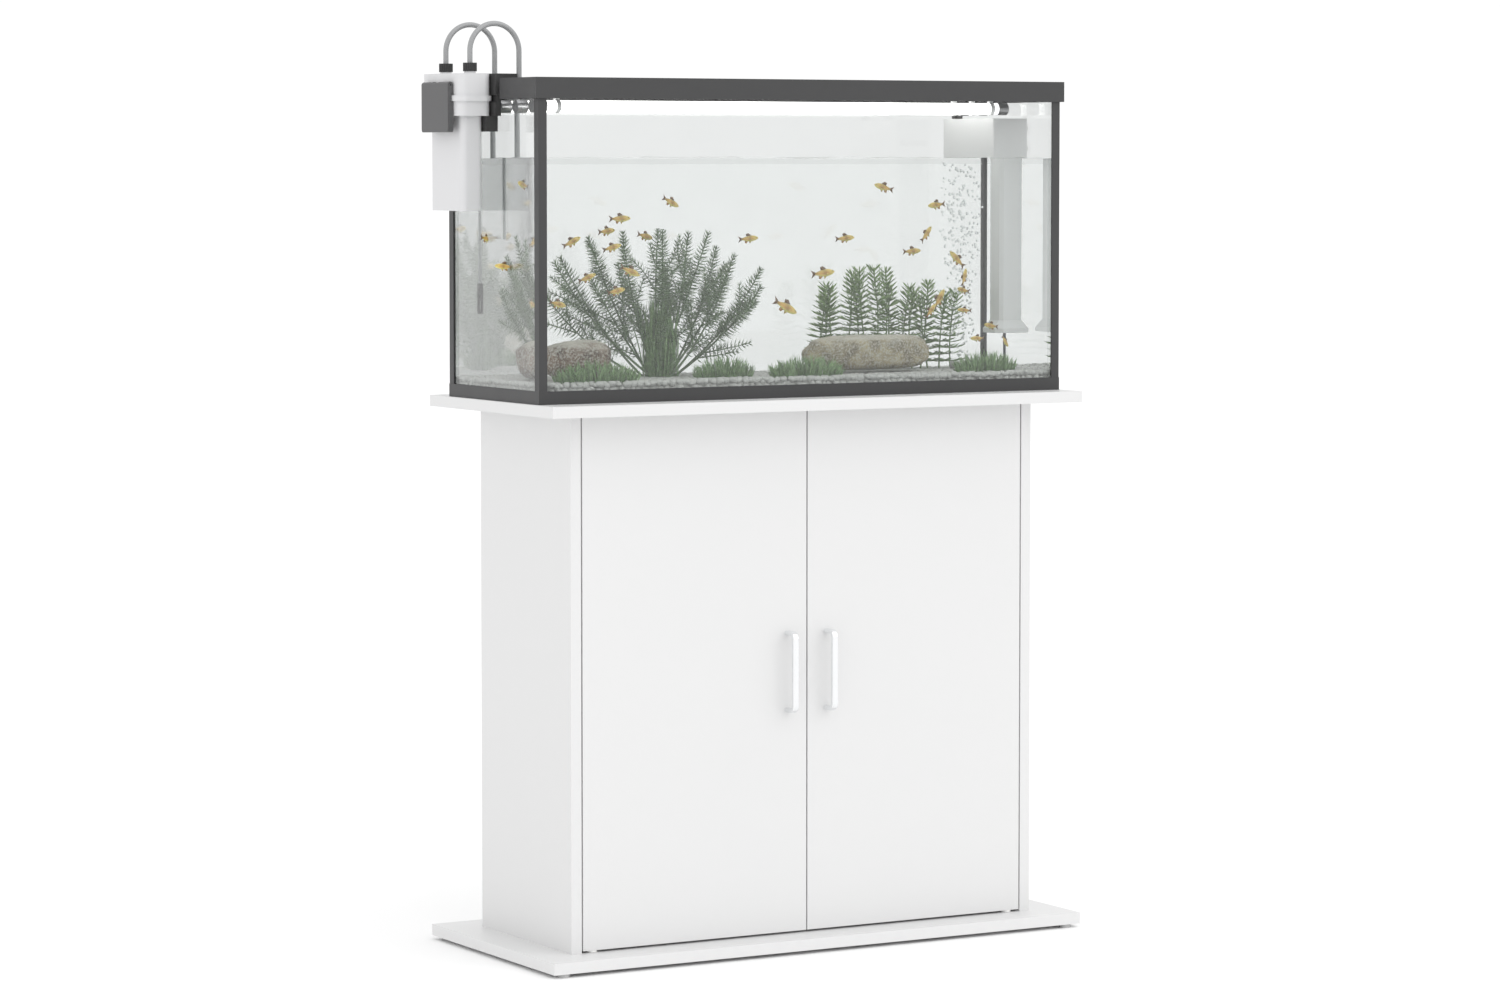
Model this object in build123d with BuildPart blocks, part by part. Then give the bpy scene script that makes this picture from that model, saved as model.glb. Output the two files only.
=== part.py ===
from build123d import *
import os
from math import hypot

# Aquarium on a two-door stand: a glass tank with a lift-off lamp hood, a hang-on canister
# filter outside the left pane and a small filter inside the right pane.
# Millimetres, +Z up, the front faces -Y. The origin is on the floor, under the middle of the
# whole object's outline, filter included. Widths and depths below are told from the middle of
# the stand, which stands stand_x to the right of the origin; heights are told from the floor.

os.makedirs("parts", exist_ok=True)

# Stand
stand_width = 805.0
stand_depth = 355.0
stand_height = 730.0
board = 15.0  # thickness of the boards, panels and doors
side_overhang = 50.5  # boards past the side panels
front_overhang = 49.5  # boards past the panels, front and back
glide_height = 5.0
glide_radius = 8.0
glide_from_end = 18.0
glide_from_front = 10.0
glide_stem_radius = 2.0
glide_stem = 8.0
back_sheet = 3.0
back_inset = 10.0  # back sheet in from the panels' rear edges
groove_depth = 5.0
sheet_clearance = 0.2
shelf_height = 350.0
shelf_setback = 18.0  # shelf front behind the doors' inner faces
shelf_clearance = 1.0
shelf_pin_radius = 2.5
shelf_pin_in = 6.5
shelf_pin_out = 9.0
shelf_pin_from_edge = 30.0
bolt_spacing = 150.0  # between the front and rear cam bolts of a joint
bolt_thread_radius = 2.5
bolt_thread = 11.0
bolt_shank_radius = 3.0
bolt_bore_radius = 4.0
cam_radius = 7.5
cam_depth = 12.5
cam_from_edge = 34.0
bolt_end_gap = 2.0  # bolt short of its cam's middle

# Doors
door_gap = 2.0
door_top_gap = 1.5
door_bottom_gap = 3.0
pivot_radius = 2.5
pivot_in_board = 10.0
pivot_in_door = 11.0
pivot_running_gap = 0.05
bush_radius = 4.5
bush_length = 13.0
bush_bore_spare = 1.0  # bore deeper than the bush
flange_radius = 7.0
flange_gap = 0.3  # between a bush's flange and the board it turns on
swing_clearance = 3.0
handle_length = 108.0
handle_centre_height = 369.0
handle_from_edge = 30.0
handle_width = 9.0
handle_thickness = 6.0
handle_reach = 24.0
handle_bend = 8.0
handle_edge = 2.0
screw_radius = 1.75
screw_head_radius = 4.0
screw_head = 2.5
screw_in_handle = 9.0
magnet_width = 42.0
magnet_depth = 14.0
magnet_height = 12.0
magnet_gap = 0.5
magnet_from_middle = 34.0

# Tank
tank_length = 790.0  # outside of the glass
tank_depth = 253.0
glass = 5.0
tank_rise = 414.5  # top edge of the panes above the stand
frame_wall = 2.5
frame_height = 17.0
frame_floor = 2.0
frame_lip = 20.0
bottom_rise = 7.0  # underside of the bottom pane above the stand
gravel_depth = 16.0
gravel_clearance = 0.3
trim_width = 12.0
trim_wall = 2.0

# Hood and lamp
hood_wall = 2.5
hood_height = 27.0
hood_past_end = 7.0  # hood's outside past the glass, left and right
hood_past_front = 5.5
notch_clearance = 9.8  # notch ahead of and behind the filter's hook
notch_past_pipe = 11.0
glass_slot = 1.0
flap_from_notch = 15.0
flap_from_front = 25.0
flap_axis_depth = -6.0
flap_clearance = 1.0
flap_rest_gap = 0.2
ledge_width = 7.0
knuckle_radius = 3.0
knuckle_length = 12.0
knuckle_gap = 0.5
axis_below_top = 1.0
knuckle_spacing = 440.0
flap_pin_radius = 1.5
deck_edge_gap = 1.8
flap_edge_gap = 0.8
finger_radius = 13.0
finger_clearance = 3.0
lamp_below_rim = 33.5  # tube centres below the panes' top edge
lamp_radius = 7.5
lamp_pitch = 46.0
lamp_pipe_gap = 4.0  # between the middle tube and the outlet pipe behind it
lamp_from_left = 25.0  # tube ends from the left and the right pane
lamp_from_right = 32.5
cap_wall = 1.0
cap_length = 15.5
cap_end = 2.0
clip_width = 6.0
clip_wall = 1.2
clip_clearance = 1.0

# Hang-on filter
head_width = 49.0
head_depth = 110.0
head_height = 54.8
head_corner = 12.0
head_wall = 2.5
head_above_rim = 8.7
head_from_pane = 8.0
head_from_back = 23.1  # in from the rear pane's inner face
collar_out = 2.7
collar_height = 7.2
collar_rise = 19.0  # collar above the head's lower edge
seat_width = 5.0
seat_height = 5.0
seat_rise = 9.0
canister_inset = 8.7
canister_corner = 8.0
canister_wall = 2.0
canister_height = 122.4
canister_flange = 4.0
seal_height = 3.0
seal_clearance = 0.3
lug_height = 4.0
sponge_clearance = 1.0
sponge_head_room = 20.0
lug_below_head = 14.0
lug_out = 6.5
lug_width = 20.0
pipe_radius = 3.5
pipe_wall = 1.0
pipe_bend = 35.5
pipe_above_head = 64.8  # centre line of the arcs above the head
pipe_off_middle = 2.0  # pipes right of the head's middle
pipe_from_head_back = 20.4
pipe_spacing = 70.0
pipe_clearance = 0.05
outlet_end_rise = 209.0
intake_end_rise = 130.0
pipe_in_head = 13.0
boss_radius = 7.5
boss_height = 2.8
spigot_radius = 5.5
spigot_height = 10.0
nut_radius = 9.0
nut_height = 11.0
nut_grooves = 20
nut_groove_radius = 0.6
strainer_radius = 6.5
strainer_wall = 1.5
strainer_height = 40.0
strainer_slots = 8
strainer_slot_width = 1.6
hook_top = 8.5
hook_past_head = 8.4  # hook ahead of and behind the head
hook_leg = 5.0
hook_leg_height = 26.0
hook_reach = 32.0
hook_clearance = 0.5
spacer_height = 20.0
spacer_inset = 5.0

# Latch of the hang-on filter
latch_thickness = 8.0
latch_width = 77.0
latch_height = 65.0
latch_below_head = 21.0
latch_off_middle = 2.9  # latch ahead of the head's middle
latch_gap = 0.5
latch_skin = 1.5
latch_pin_radius = 1.2
latch_knuckle_radius = 2.2
latch_knuckle_width = 15.0
latch_neck = 3.0
latch_slack = 0.5
hook_tip = 7.0
latch_corner = 4.0
latch_pin_inset = 3.0
hook_tip_height = 4.0
collar_slack_top = 1.3
collar_slack_bottom = 0.8
collar_slack_out = 0.6

# Pumps: one in the hang-on filter's head, one in the inner filter
stator_size = 32.0
stator_height = 27.0
well_radius = 6.6
well_depth = 21.0
magnet_radius = 6.0
magnet_length = 18.0
impeller_radius = 11.0
impeller_hub_radius = 3.0
impeller_disc = 1.5
impeller_height = 7.0
impeller_blades = 6
blade_thickness = 1.2
impeller_gap = 1.0
shaft_radius = 1.0
shaft_running_gap = 0.05
shaft_in_stator = 3.0
stator_corner = 4.0
blade_in_hub = 1.0
head_pump_below_top = 39.7  # underside of the rotor below the head's top
inner_pump_rise = 4.5  # underside of the rotor above the box's underside

# Inner filter, on the right pane
box_width = 55.0
box_front = -67.0
box_back = 63.0
box_below_rim = 46.5
box_height = 53.0
box_corner = 3.0
box_wall = 2.0
cup_gap = 5.0  # between the box and the right pane
cup_radius = 11.0
cup_neck_radius = 4.0
cup_lip = 1.6
cup_from_side = 20.0  # cups from the box's front, back, top and underside
cup_from_end = 13.0
column_width = 34.0
column_depth = 37.0
column_chamfer = 5.0
column_bottom_rise = 94.0
foot_rise = 77.0
foot_flare = 8.0
foot_straight = 6.0
outlet_slots = 3
slot_width = 14.0
slot_height = 8.0
slot_rise = 20.0
waterway_inset = 4.0  # the box floor's opening into the column, in from its outline
knob_radius = 3.5
knob_height = 3.8
knob_depth = 30.0
knob_from_side = 7.0
knob_gap = 0.4
knob_grooves = 10
knob_groove_radius = 0.4
spindle_radius = 1.5
spindle_running_gap = 0.08
spindle_length = 9.0
gate_radius = 4.0
gate_height = 1.5
riser_radius = 2.0
riser_bend = 8.0
riser_off_middle = 4.0  # air line behind the column's middle
stone_radius = 5.0
stone_length = 30.0
stone_from_column = 24.0
stone_depth = -12.0

# What grows and lies in the tank, as plain outlines
rock_height = 52.0
rock_waist = 0.6  # of its height, where a rock starts to close in
rock_swell = 0.92  # of its foot, how wide it is there
rock_crown = 0.5  # of its foot, how wide its top is
left_rock = (75.0, 71.5, 104.0, 66.0)  # middle from the left and the front pane, width, depth
right_rock = (259.0, 85.5, 202.0, 62.0)  # the same, from the right and the front pane
bush_from_left = 49.0
bush_from_stems = 65.0
bush_from_front = 26.5
bush_crown_rise = 92.0
bush_middle_rise = 150.0
bush_top_rise = 222.0
bush_stem_radius = 14.0
bush_crown = 0.55  # of its girth, how wide it is at its crown
bush_tip = 0.35
stems_length = 262.0
stems_from_box = 8.0
stems_corner = 20.0
stems_front = 18.0
stems_back = 74.0
stems_height = 150.0
tuft_height = 32.0
left_tuft = (86.0, 19.5, 122.0)  # middle from the left and the front pane, width
right_tuft = (99.0, 23.5, 96.0)  # the same, from the right and the front pane
middle_tufts = ((-101.0, 55.5, 88.0), (9.0, 19.5, 110.0))  # middle, from the front pane, width
tuft_corner = 10.0
tuft_taper = 6.0
tuft_depth = 26.0

# Places worked out from the sizes above
half_width = stand_width / 2
half_depth = stand_depth / 2
cabinet_half = half_width - side_overhang
cabinet_inner = cabinet_half - board
cabinet_edge = half_depth - front_overhang
floor_top = glide_height + board
roof = stand_height - board
door_inside = -cabinet_edge + board
door_middle = -cabinet_edge + board / 2
back_front = cabinet_edge - back_inset - back_sheet
pivot_inset = ((board / 2) ** 2 - door_gap**2) / (2 * door_gap) + swing_clearance
pivot_x = cabinet_inner - door_gap - pivot_inset

glass_half = tank_length / 2
glass_front = tank_depth / 2
pane_bottom = stand_height + frame_floor
pane_top = stand_height + tank_rise
inner_half = glass_half - glass
inner_front = glass_front - glass
gravel_bottom = stand_height + bottom_rise + glass
gravel_top = gravel_bottom + gravel_depth

hood_half = glass_half + hood_past_end
hood_front = glass_front + hood_past_front
hood_top = pane_top + hood_wall
hood_bottom = hood_top - hood_height
lamp_height = pane_top - lamp_below_rim
lamp_left = -inner_half + lamp_from_left
lamp_right = inner_half - lamp_from_right

head_top = pane_top + head_above_rim
head_bottom = head_top - head_height
head_inner_x = -glass_half - head_from_pane
head_outer_x = head_inner_x - head_width
head_x = (head_inner_x + head_outer_x) / 2
latch_outer_x = head_outer_x - latch_gap - latch_thickness
pipe_outer_x = head_x + pipe_off_middle
pipe_inner_x = pipe_outer_x + 2 * pipe_bend
hook_back = inner_front - head_from_back
head_middle = hook_back - head_depth / 2
hook_front = head_middle - head_depth / 2 - hook_past_head
latch_middle = head_middle - latch_off_middle
pipe_back = hook_back - pipe_from_head_back
pipe_front = pipe_back - pipe_spacing
lamp_middle = pipe_front - pipe_radius - lamp_pipe_gap - lamp_radius

box_right = inner_half - cup_gap
box_left = box_right - box_width
box_top = pane_top - box_below_rim
box_bottom = box_top - box_height

stand_x = (max(-latch_outer_x, half_width) - half_width) / 2


def level(z, x=0.0, y=0.0):
    """Flat plane at height z: sketch X runs right, sketch Y to the back."""
    return Plane(origin=(stand_x + x, y, z))


def facing_front(y, x=0.0, z=0.0):
    """Upright plane that looks to the front: sketch X runs right, sketch Y up."""
    return Plane(origin=(stand_x + x, y, z), x_dir=(1, 0, 0), z_dir=(0, -1, 0))


def facing_right(x, y=0.0, z=0.0):
    """Upright plane that looks to the right: sketch X runs to the back, sketch Y up."""
    return Plane(origin=(stand_x + x, y, z), x_dir=(0, 1, 0), z_dir=(1, 0, 0))


def keep(piece, name):
    """Names a finished piece and writes it."""
    piece.part.label = name
    export_step(piece.part, f"parts/{name}.step")


def block(x_limits, y_limits, z_limits, corner=0.0):
    """A block between two limits each way, its upright edges rounded if asked."""
    width = x_limits[1] - x_limits[0]
    depth = y_limits[1] - y_limits[0]
    with BuildPart() as piece:
        with BuildSketch(level(z_limits[0], sum(x_limits) / 2, sum(y_limits) / 2)):
            Rectangle(width, depth)
            if corner:
                fillet(vertices(), corner)
        extrude(amount=z_limits[1] - z_limits[0])
    return piece


def drill(plane, radius, depth):
    """Takes a round hole out of the part being built, from plane against its normal."""
    with BuildSketch(plane) as disc:
        Circle(radius)
    extrude(disc.sketch, amount=-depth, mode=Mode.SUBTRACT)


def rod(plane, radius, length):
    """Adds a round rod to the part being built, from plane along its normal."""
    with BuildSketch(plane) as disc:
        Circle(radius)
    extrude(disc.sketch, amount=length)


def add_block(x_limits, y_limits, z_limits, mode=Mode.ADD):
    """Adds a block to the part being built."""
    with BuildSketch(level(z_limits[0], sum(x_limits) / 2, sum(y_limits) / 2)) as foot:
        Rectangle(x_limits[1] - x_limits[0], y_limits[1] - y_limits[0])
    extrude(foot.sketch, amount=z_limits[1] - z_limits[0], mode=mode)


def cut(x_limits, y_limits, z_limits):
    """Takes a block out of the part being built."""
    add_block(x_limits, y_limits, z_limits, Mode.SUBTRACT)


# Cam joints: a bolt in a board, its head held by a cam in the upright panel it meets
panel_x = cabinet_half - board / 2
upright_xs = (-panel_x, 0.0, panel_x)
bolt_ys = (-bolt_spacing / 2, bolt_spacing / 2)


def cam_face_x(x):
    """The face that an upright's cams are let into: its inner one, the divider's left one."""
    return x - board / 2 if x >= 0 else x + board / 2


def bore_upright(x):
    """Cuts an upright's cam pockets and bolt bores, at both ends."""
    into = -1.0 if x >= 0 else 1.0
    for y in bolt_ys:
        for z, bore_end in ((floor_top + cam_from_edge, floor_top), (roof - cam_from_edge, roof)):
            drill(facing_right(cam_face_x(x), y, z), cam_radius, into * cam_depth)
            drill(level(max(z, bore_end), x, y), bolt_bore_radius, abs(bore_end - z))


def stand_board(bottom, pivot_side, name):
    """The bottom or the top board, drilled for the bolts and the door pivots."""
    with BuildPart() as piece:
        with BuildSketch(level(bottom)):
            Rectangle(stand_width, stand_depth)
        extrude(amount=board)
        inner = bottom + board if pivot_side > 0 else bottom
        for x in upright_xs:
            for y in bolt_ys:
                drill(level(inner, x, y), bolt_thread_radius, pivot_side * bolt_thread)
        for x in (-pivot_x, pivot_x):
            drill(level(inner, x, door_middle), pivot_radius, pivot_side * pivot_in_board)
        if pivot_side > 0:
            for x in glide_xs:
                for y in glide_ys:
                    drill(level(bottom + glide_stem, x, y), glide_stem_radius, glide_stem)
    keep(piece, name)


glide_xs = (-half_width + glide_from_end, half_width - glide_from_end)
glide_ys = (-half_depth + glide_from_front, half_depth - glide_from_front)
stand_board(glide_height, 1, "bottom_board")
stand_board(roof, -1, "top_board")

with BuildPart() as glide_feet:
    for x in glide_xs:
        for y in glide_ys:
            rod(level(0, x, y), glide_radius, glide_height)
            rod(level(glide_height, x, y), glide_stem_radius, glide_stem)
keep(glide_feet, "glide_feet")


def shelf_pin_holes(x, into):
    """Drills an upright's face at x for the two shelf pins, into being the way in."""
    for y in shelf_pin_ys:
        face = facing_right(x, y, shelf_height - shelf_pin_radius)
        drill(face, shelf_pin_radius, -into * shelf_pin_in)


shelf_front = door_inside + shelf_setback
shelf_back = back_front - shelf_clearance
shelf_pin_ys = (shelf_front + shelf_pin_from_edge, shelf_back - shelf_pin_from_edge)
divider_half = board / 2

for side, name in ((-1, "left_side_panel"), (1, "right_side_panel")):
    with BuildPart() as panel:
        with BuildSketch(level(floor_top, side * panel_x)):
            Rectangle(board, 2 * cabinet_edge)
        extrude(amount=roof - floor_top)
        bore_upright(side * panel_x)
        shelf_pin_holes(side * cabinet_inner, side)
        groove = (side * cabinet_inner, side * (cabinet_inner + groove_depth))
        sheet_limits = (back_front - sheet_clearance, back_front + back_sheet + sheet_clearance)
        cut((min(groove), max(groove)), sheet_limits, (floor_top, roof))
    keep(panel, name)

with BuildPart() as centre_divider:
    divider_front = door_inside + magnet_gap
    with BuildSketch(level(floor_top, 0, (divider_front + back_front) / 2)):
        Rectangle(board, back_front - divider_front)
    extrude(amount=roof - floor_top)
    bore_upright(0.0)
    shelf_pin_holes(divider_half, -1)
    shelf_pin_holes(-divider_half, 1)
keep(centre_divider, "centre_divider")

sheet_half = cabinet_inner + groove_depth - sheet_clearance
back_panel = block(
    (-sheet_half, sheet_half), (back_front, back_front + back_sheet), (floor_top, roof)
)
keep(back_panel, "back_panel")

with BuildPart() as shelves:
    shelf_inner = divider_half + shelf_clearance
    shelf_outer = cabinet_inner - shelf_clearance
    for side in (-1, 1):
        shelf_x = side * (shelf_inner + shelf_outer) / 2
        with BuildSketch(level(shelf_height, shelf_x, (shelf_front + shelf_back) / 2)):
            Rectangle(shelf_outer - shelf_inner, shelf_back - shelf_front)
        extrude(amount=board)
keep(shelves, "shelves")

with BuildPart() as shelf_pins:
    pin_reach = shelf_pin_in + shelf_pin_out
    for y in shelf_pin_ys:
        for start in (
            -cabinet_inner - shelf_pin_in,
            -divider_half - shelf_pin_out,
            divider_half - shelf_pin_in,
            cabinet_inner - shelf_pin_out,
        ):
            rod(facing_right(start, y, shelf_height - shelf_pin_radius), shelf_pin_radius, pin_reach)
keep(shelf_pins, "shelf_pins")

with BuildPart() as cam_fittings:
    bolt_reach = cam_from_edge - bolt_end_gap
    for x in upright_xs:
        for y in bolt_ys:
            rod(level(floor_top - bolt_thread, x, y), bolt_thread_radius, bolt_thread)
            rod(level(floor_top, x, y), bolt_shank_radius, bolt_reach)
            rod(level(roof - bolt_reach, x, y), bolt_shank_radius, bolt_reach)
            rod(level(roof, x, y), bolt_thread_radius, bolt_thread)
    with BuildPart(mode=Mode.PRIVATE) as cam_locks:
        for x in upright_xs:
            into = -1.0 if x >= 0 else 1.0
            for y in bolt_ys:
                for z in (floor_top + cam_from_edge, roof - cam_from_edge):
                    rod(facing_right(cam_face_x(x), y, z), cam_radius, -into * cam_depth)
        for x in upright_xs:
            for y in bolt_ys:
                for z in (floor_top + cam_from_edge, roof):
                    drill(level(z, x, y), bolt_bore_radius, cam_from_edge)
    add(cam_locks.part)
keep(cam_fittings, "cam_fittings")

# Doors, each turning on two pins in nylon bushes
door_bottom = floor_top + door_bottom_gap
door_top = roof - door_top_gap
handle_half = handle_length / 2 - handle_thickness / 2
handle_zs = (handle_centre_height - handle_half, handle_centre_height + handle_half)

for side, name in ((-1, "left"), (1, "right")):
    door_x = side * (cabinet_inner - door_gap + door_gap / 2) / 2
    grip_x = side * handle_from_edge
    hinge_x = side * pivot_x
    with BuildPart() as door:
        with BuildSketch(level(door_bottom, door_x, door_middle)):
            Rectangle(cabinet_inner - 1.5 * door_gap, board)
        extrude(amount=door_top - door_bottom)
        bush_bore = bush_length + bush_bore_spare
        drill(level(door_top, hinge_x, door_middle), bush_radius, bush_bore)
        drill(level(door_bottom + bush_bore, hinge_x, door_middle), bush_radius, bush_bore)
        for z in handle_zs:
            drill(facing_front(-cabinet_edge, grip_x, z), screw_radius, board)
    keep(door, f"{name}_door")

    with BuildPart() as handle:
        with BuildLine(facing_right(grip_x)) as bow:
            FilletPolyline(
                (-cabinet_edge, handle_zs[0]),
                (-cabinet_edge - handle_reach + handle_thickness / 2, handle_zs[0]),
                (-cabinet_edge - handle_reach + handle_thickness / 2, handle_zs[1]),
                (-cabinet_edge, handle_zs[1]),
                radius=handle_bend,
            )
        with BuildSketch(facing_front(-cabinet_edge, grip_x, handle_zs[0])):
            RectangleRounded(handle_width, handle_thickness, handle_edge)
        sweep(path=bow.line)
        for z in handle_zs:
            drill(facing_front(-cabinet_edge - screw_in_handle, grip_x, z), screw_radius, screw_in_handle)
    keep(handle, f"{name}_handle")

    with BuildPart() as handle_screws:
        for z in handle_zs:
            rod(facing_front(door_inside, grip_x, z), screw_radius, board + screw_in_handle)
            rod(facing_front(door_inside + screw_head, grip_x, z), screw_head_radius, screw_head)
    keep(handle_screws, f"{name}_handle_screws")

    with BuildPart() as bushes:
        for face, outward, gap in ((door_bottom, -1, door_bottom_gap), (door_top, 1, door_top_gap)):
            tube_start = face if outward < 0 else face - bush_length
            flange = gap - flange_gap
            rod(level(tube_start, hinge_x, door_middle), bush_radius, bush_length)
            rod(level(min(face, face + outward * flange), hinge_x, door_middle), flange_radius, flange)
            bore_start = min(tube_start, face + outward * flange)
            bore = bush_length + flange
            drill(level(bore_start + bore, hinge_x, door_middle), pivot_radius + pivot_running_gap, bore)
    keep(bushes, f"{name}_hinge_bushes")

with BuildPart() as hinge_pins:
    for x in (-pivot_x, pivot_x):
        low_length = pivot_in_board + door_bottom_gap + pivot_in_door
        high_length = pivot_in_board + door_top_gap + pivot_in_door
        rod(level(floor_top - pivot_in_board, x, door_middle), pivot_radius, low_length)
        rod(level(roof + pivot_in_board - high_length, x, door_middle), pivot_radius, high_length)
keep(hinge_pins, "hinge_pins")

with BuildPart() as door_magnets:
    for x in (-magnet_from_middle, magnet_from_middle):
        with BuildSketch(level(roof - magnet_height, x, door_inside + magnet_gap + magnet_depth / 2)):
            Rectangle(magnet_width, magnet_depth)
        extrude(amount=magnet_height)
keep(door_magnets, "door_magnets")

# Tank
with BuildPart() as base_frame:
    with BuildSketch(level(stand_height)):
        Rectangle(tank_length + 2 * frame_wall, tank_depth + 2 * frame_wall)
    extrude(amount=frame_height)
    with BuildSketch(level(pane_bottom)):
        Rectangle(tank_length, tank_depth)
    extrude(amount=frame_height, mode=Mode.SUBTRACT)
    with BuildSketch(level(pane_bottom)):
        Rectangle(2 * inner_half, 2 * inner_front)
    extrude(amount=bottom_rise - frame_floor)
    with BuildSketch(level(stand_height)):
        Rectangle(2 * (inner_half - frame_lip), 2 * (inner_front - frame_lip))
    extrude(amount=frame_height, mode=Mode.SUBTRACT)
keep(base_frame, "base_frame")

bottom_glass = block(
    (-inner_half, inner_half),
    (-inner_front, inner_front),
    (stand_height + bottom_rise, gravel_bottom),
)
keep(bottom_glass, "bottom_glass")

for side, name in ((-1, "front_glass"), (1, "back_glass")):
    pane_y = sorted((side * inner_front, side * glass_front))
    keep(block((-glass_half, glass_half), pane_y, (pane_bottom, pane_top)), name)

for side, name in ((-1, "left_glass"), (1, "right_glass")):
    pane_x = sorted((side * inner_half, side * glass_half))
    keep(block(pane_x, (-inner_front, inner_front), (pane_bottom, pane_top)), name)

with BuildPart() as corner_trims:
    trim_start = stand_height + frame_height
    for side in (-1, 1):
        for end in (-1, 1):
            outer_x = side * (glass_half + trim_wall - trim_width / 2)
            outer_y = end * (glass_front + trim_wall - trim_width / 2)
            with BuildSketch(level(trim_start, outer_x, outer_y)):
                Rectangle(trim_width, trim_width)
                with Locations((-side * trim_wall, -end * trim_wall)):
                    Rectangle(trim_width, trim_width, mode=Mode.SUBTRACT)
            extrude(amount=hood_bottom + trim_wall - trim_start)
keep(corner_trims, "corner_trims")

# Hood: a deck on a skirt round the panes, both notched for the filter
notch_x = pipe_inner_x + pipe_radius + notch_past_pipe
notch_front = hook_front - notch_clearance
notch_back = hook_back + notch_clearance
flap_half = -notch_x - flap_from_notch
flap_length = 2 * flap_half
flap_front = -hood_front + flap_from_front
deck_edge = flap_axis_depth + deck_edge_gap
flap_edge = flap_axis_depth - flap_edge_gap
knuckle_xs = (-knuckle_spacing / 2, knuckle_spacing / 2)
knuckle_step = knuckle_length + knuckle_gap
axis_height = hood_top - axis_below_top


def hood_outline(inset):
    """Draws the hood's outline with its notch, inset all round."""
    Rectangle(2 * (hood_half - inset), 2 * (hood_front - inset))
    with BuildSketch(mode=Mode.PRIVATE) as notch:
        with Locations((notch_x + inset, (notch_front + notch_back) / 2)):
            notch_length = 2 * (notch_x + hood_half + inset)
            Rectangle(notch_length, notch_back - notch_front + 2 * inset, align=(Align.MAX, Align.CENTER))
    add(notch.sketch, mode=Mode.SUBTRACT)


def knuckle(x, length, bore, web_front, web_back, web_bottom):
    """Adds a hinge knuckle on the flap's axis, with the web that joins it to its plate."""
    rod(facing_right(x - length / 2, flap_axis_depth, axis_height), knuckle_radius, length)
    add_block((x - length / 2, x + length / 2), (web_front, web_back), (web_bottom, hood_top))
    drill(facing_right(x + length / 2, flap_axis_depth, axis_height), bore, length)


with BuildPart() as hood_skirt:
    with BuildSketch(level(hood_bottom)):
        hood_outline(0.0)
        with BuildSketch(mode=Mode.PRIVATE) as skirt_inside:
            hood_outline(hood_wall)
        add(skirt_inside.sketch, mode=Mode.SUBTRACT)
    extrude(amount=pane_top - hood_bottom)
    cut(
        (-glass_half - glass_slot, -inner_half + glass_slot),
        (notch_front - 2 * hood_wall, notch_back + 2 * hood_wall),
        (hood_bottom, pane_top),
    )
keep(hood_skirt, "hood_skirt")

with BuildPart() as hood:
    with BuildSketch(level(pane_top)):
        hood_outline(0.0)
    extrude(amount=hood_wall)
    cut((-flap_half, flap_half), (flap_front, deck_edge), (pane_top, hood_top))
    with BuildSketch(level(pane_top - hood_wall)):
        with Locations((0, (flap_front + deck_edge) / 2 - ledge_width / 2)):
            Rectangle(flap_length + ledge_width, deck_edge - flap_front)
        with Locations((0, (flap_front + deck_edge) / 2 + ledge_width / 2)):
            Rectangle(flap_length - ledge_width, deck_edge - flap_front, mode=Mode.SUBTRACT)
        with Locations((0, flap_front)):
            Rectangle(2 * (finger_radius + finger_clearance), 2 * ledge_width, mode=Mode.SUBTRACT)
    extrude(amount=hood_wall)
    for x in knuckle_xs:
        cut(
            (x - knuckle_length / 2 - knuckle_gap, x + knuckle_length / 2 + knuckle_gap),
            (flap_edge, flap_axis_depth + knuckle_radius + knuckle_gap),
            (pane_top, hood_top),
        )
        for place in (x - knuckle_step, x + knuckle_step):
            web_back = deck_edge + knuckle_radius
            knuckle(place, knuckle_length, flap_pin_radius, flap_axis_depth, web_back, pane_top)
keep(hood, "hood")

with BuildPart() as feeding_flap:
    flap_bottom = pane_top + flap_rest_gap
    flap_lip = flap_front + flap_clearance
    with BuildSketch(level(flap_bottom, 0, (flap_lip + flap_edge) / 2)):
        Rectangle(flap_length - 2 * flap_clearance, flap_edge - flap_lip)
        with Locations((0, (flap_lip - flap_edge) / 2)):
            Circle(finger_radius, mode=Mode.SUBTRACT)
    extrude(amount=hood_top - flap_bottom)
    for x in knuckle_xs:
        for place in (x - knuckle_step, x + knuckle_step):
            cut(
                (place - knuckle_length / 2 - knuckle_gap, place + knuckle_length / 2 + knuckle_gap),
                (flap_axis_depth - knuckle_radius - knuckle_gap, flap_edge),
                (pane_top, hood_top),
            )
        web_front = flap_edge - knuckle_radius
        bore = flap_pin_radius + pivot_running_gap
        knuckle(x, knuckle_length, bore, web_front, flap_axis_depth, flap_bottom)
keep(feeding_flap, "feeding_flap")

with BuildPart() as flap_pins:
    pin_length = 2 * knuckle_step + knuckle_length
    for x in knuckle_xs:
        rod(facing_right(x - pin_length / 2, flap_axis_depth, axis_height), flap_pin_radius, pin_length)
keep(flap_pins, "flap_pins")

# Lamp: three tubes under the hood
lamp_ys = tuple(lamp_middle + row * lamp_pitch for row in (-1, 0, 1))

with BuildPart() as lamp_tubes:
    for y in lamp_ys:
        tube_length = lamp_right - lamp_left - 2 * cap_end
        rod(facing_right(lamp_left + cap_end, y, lamp_height), lamp_radius, tube_length)
keep(lamp_tubes, "lamp_tubes")

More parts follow.
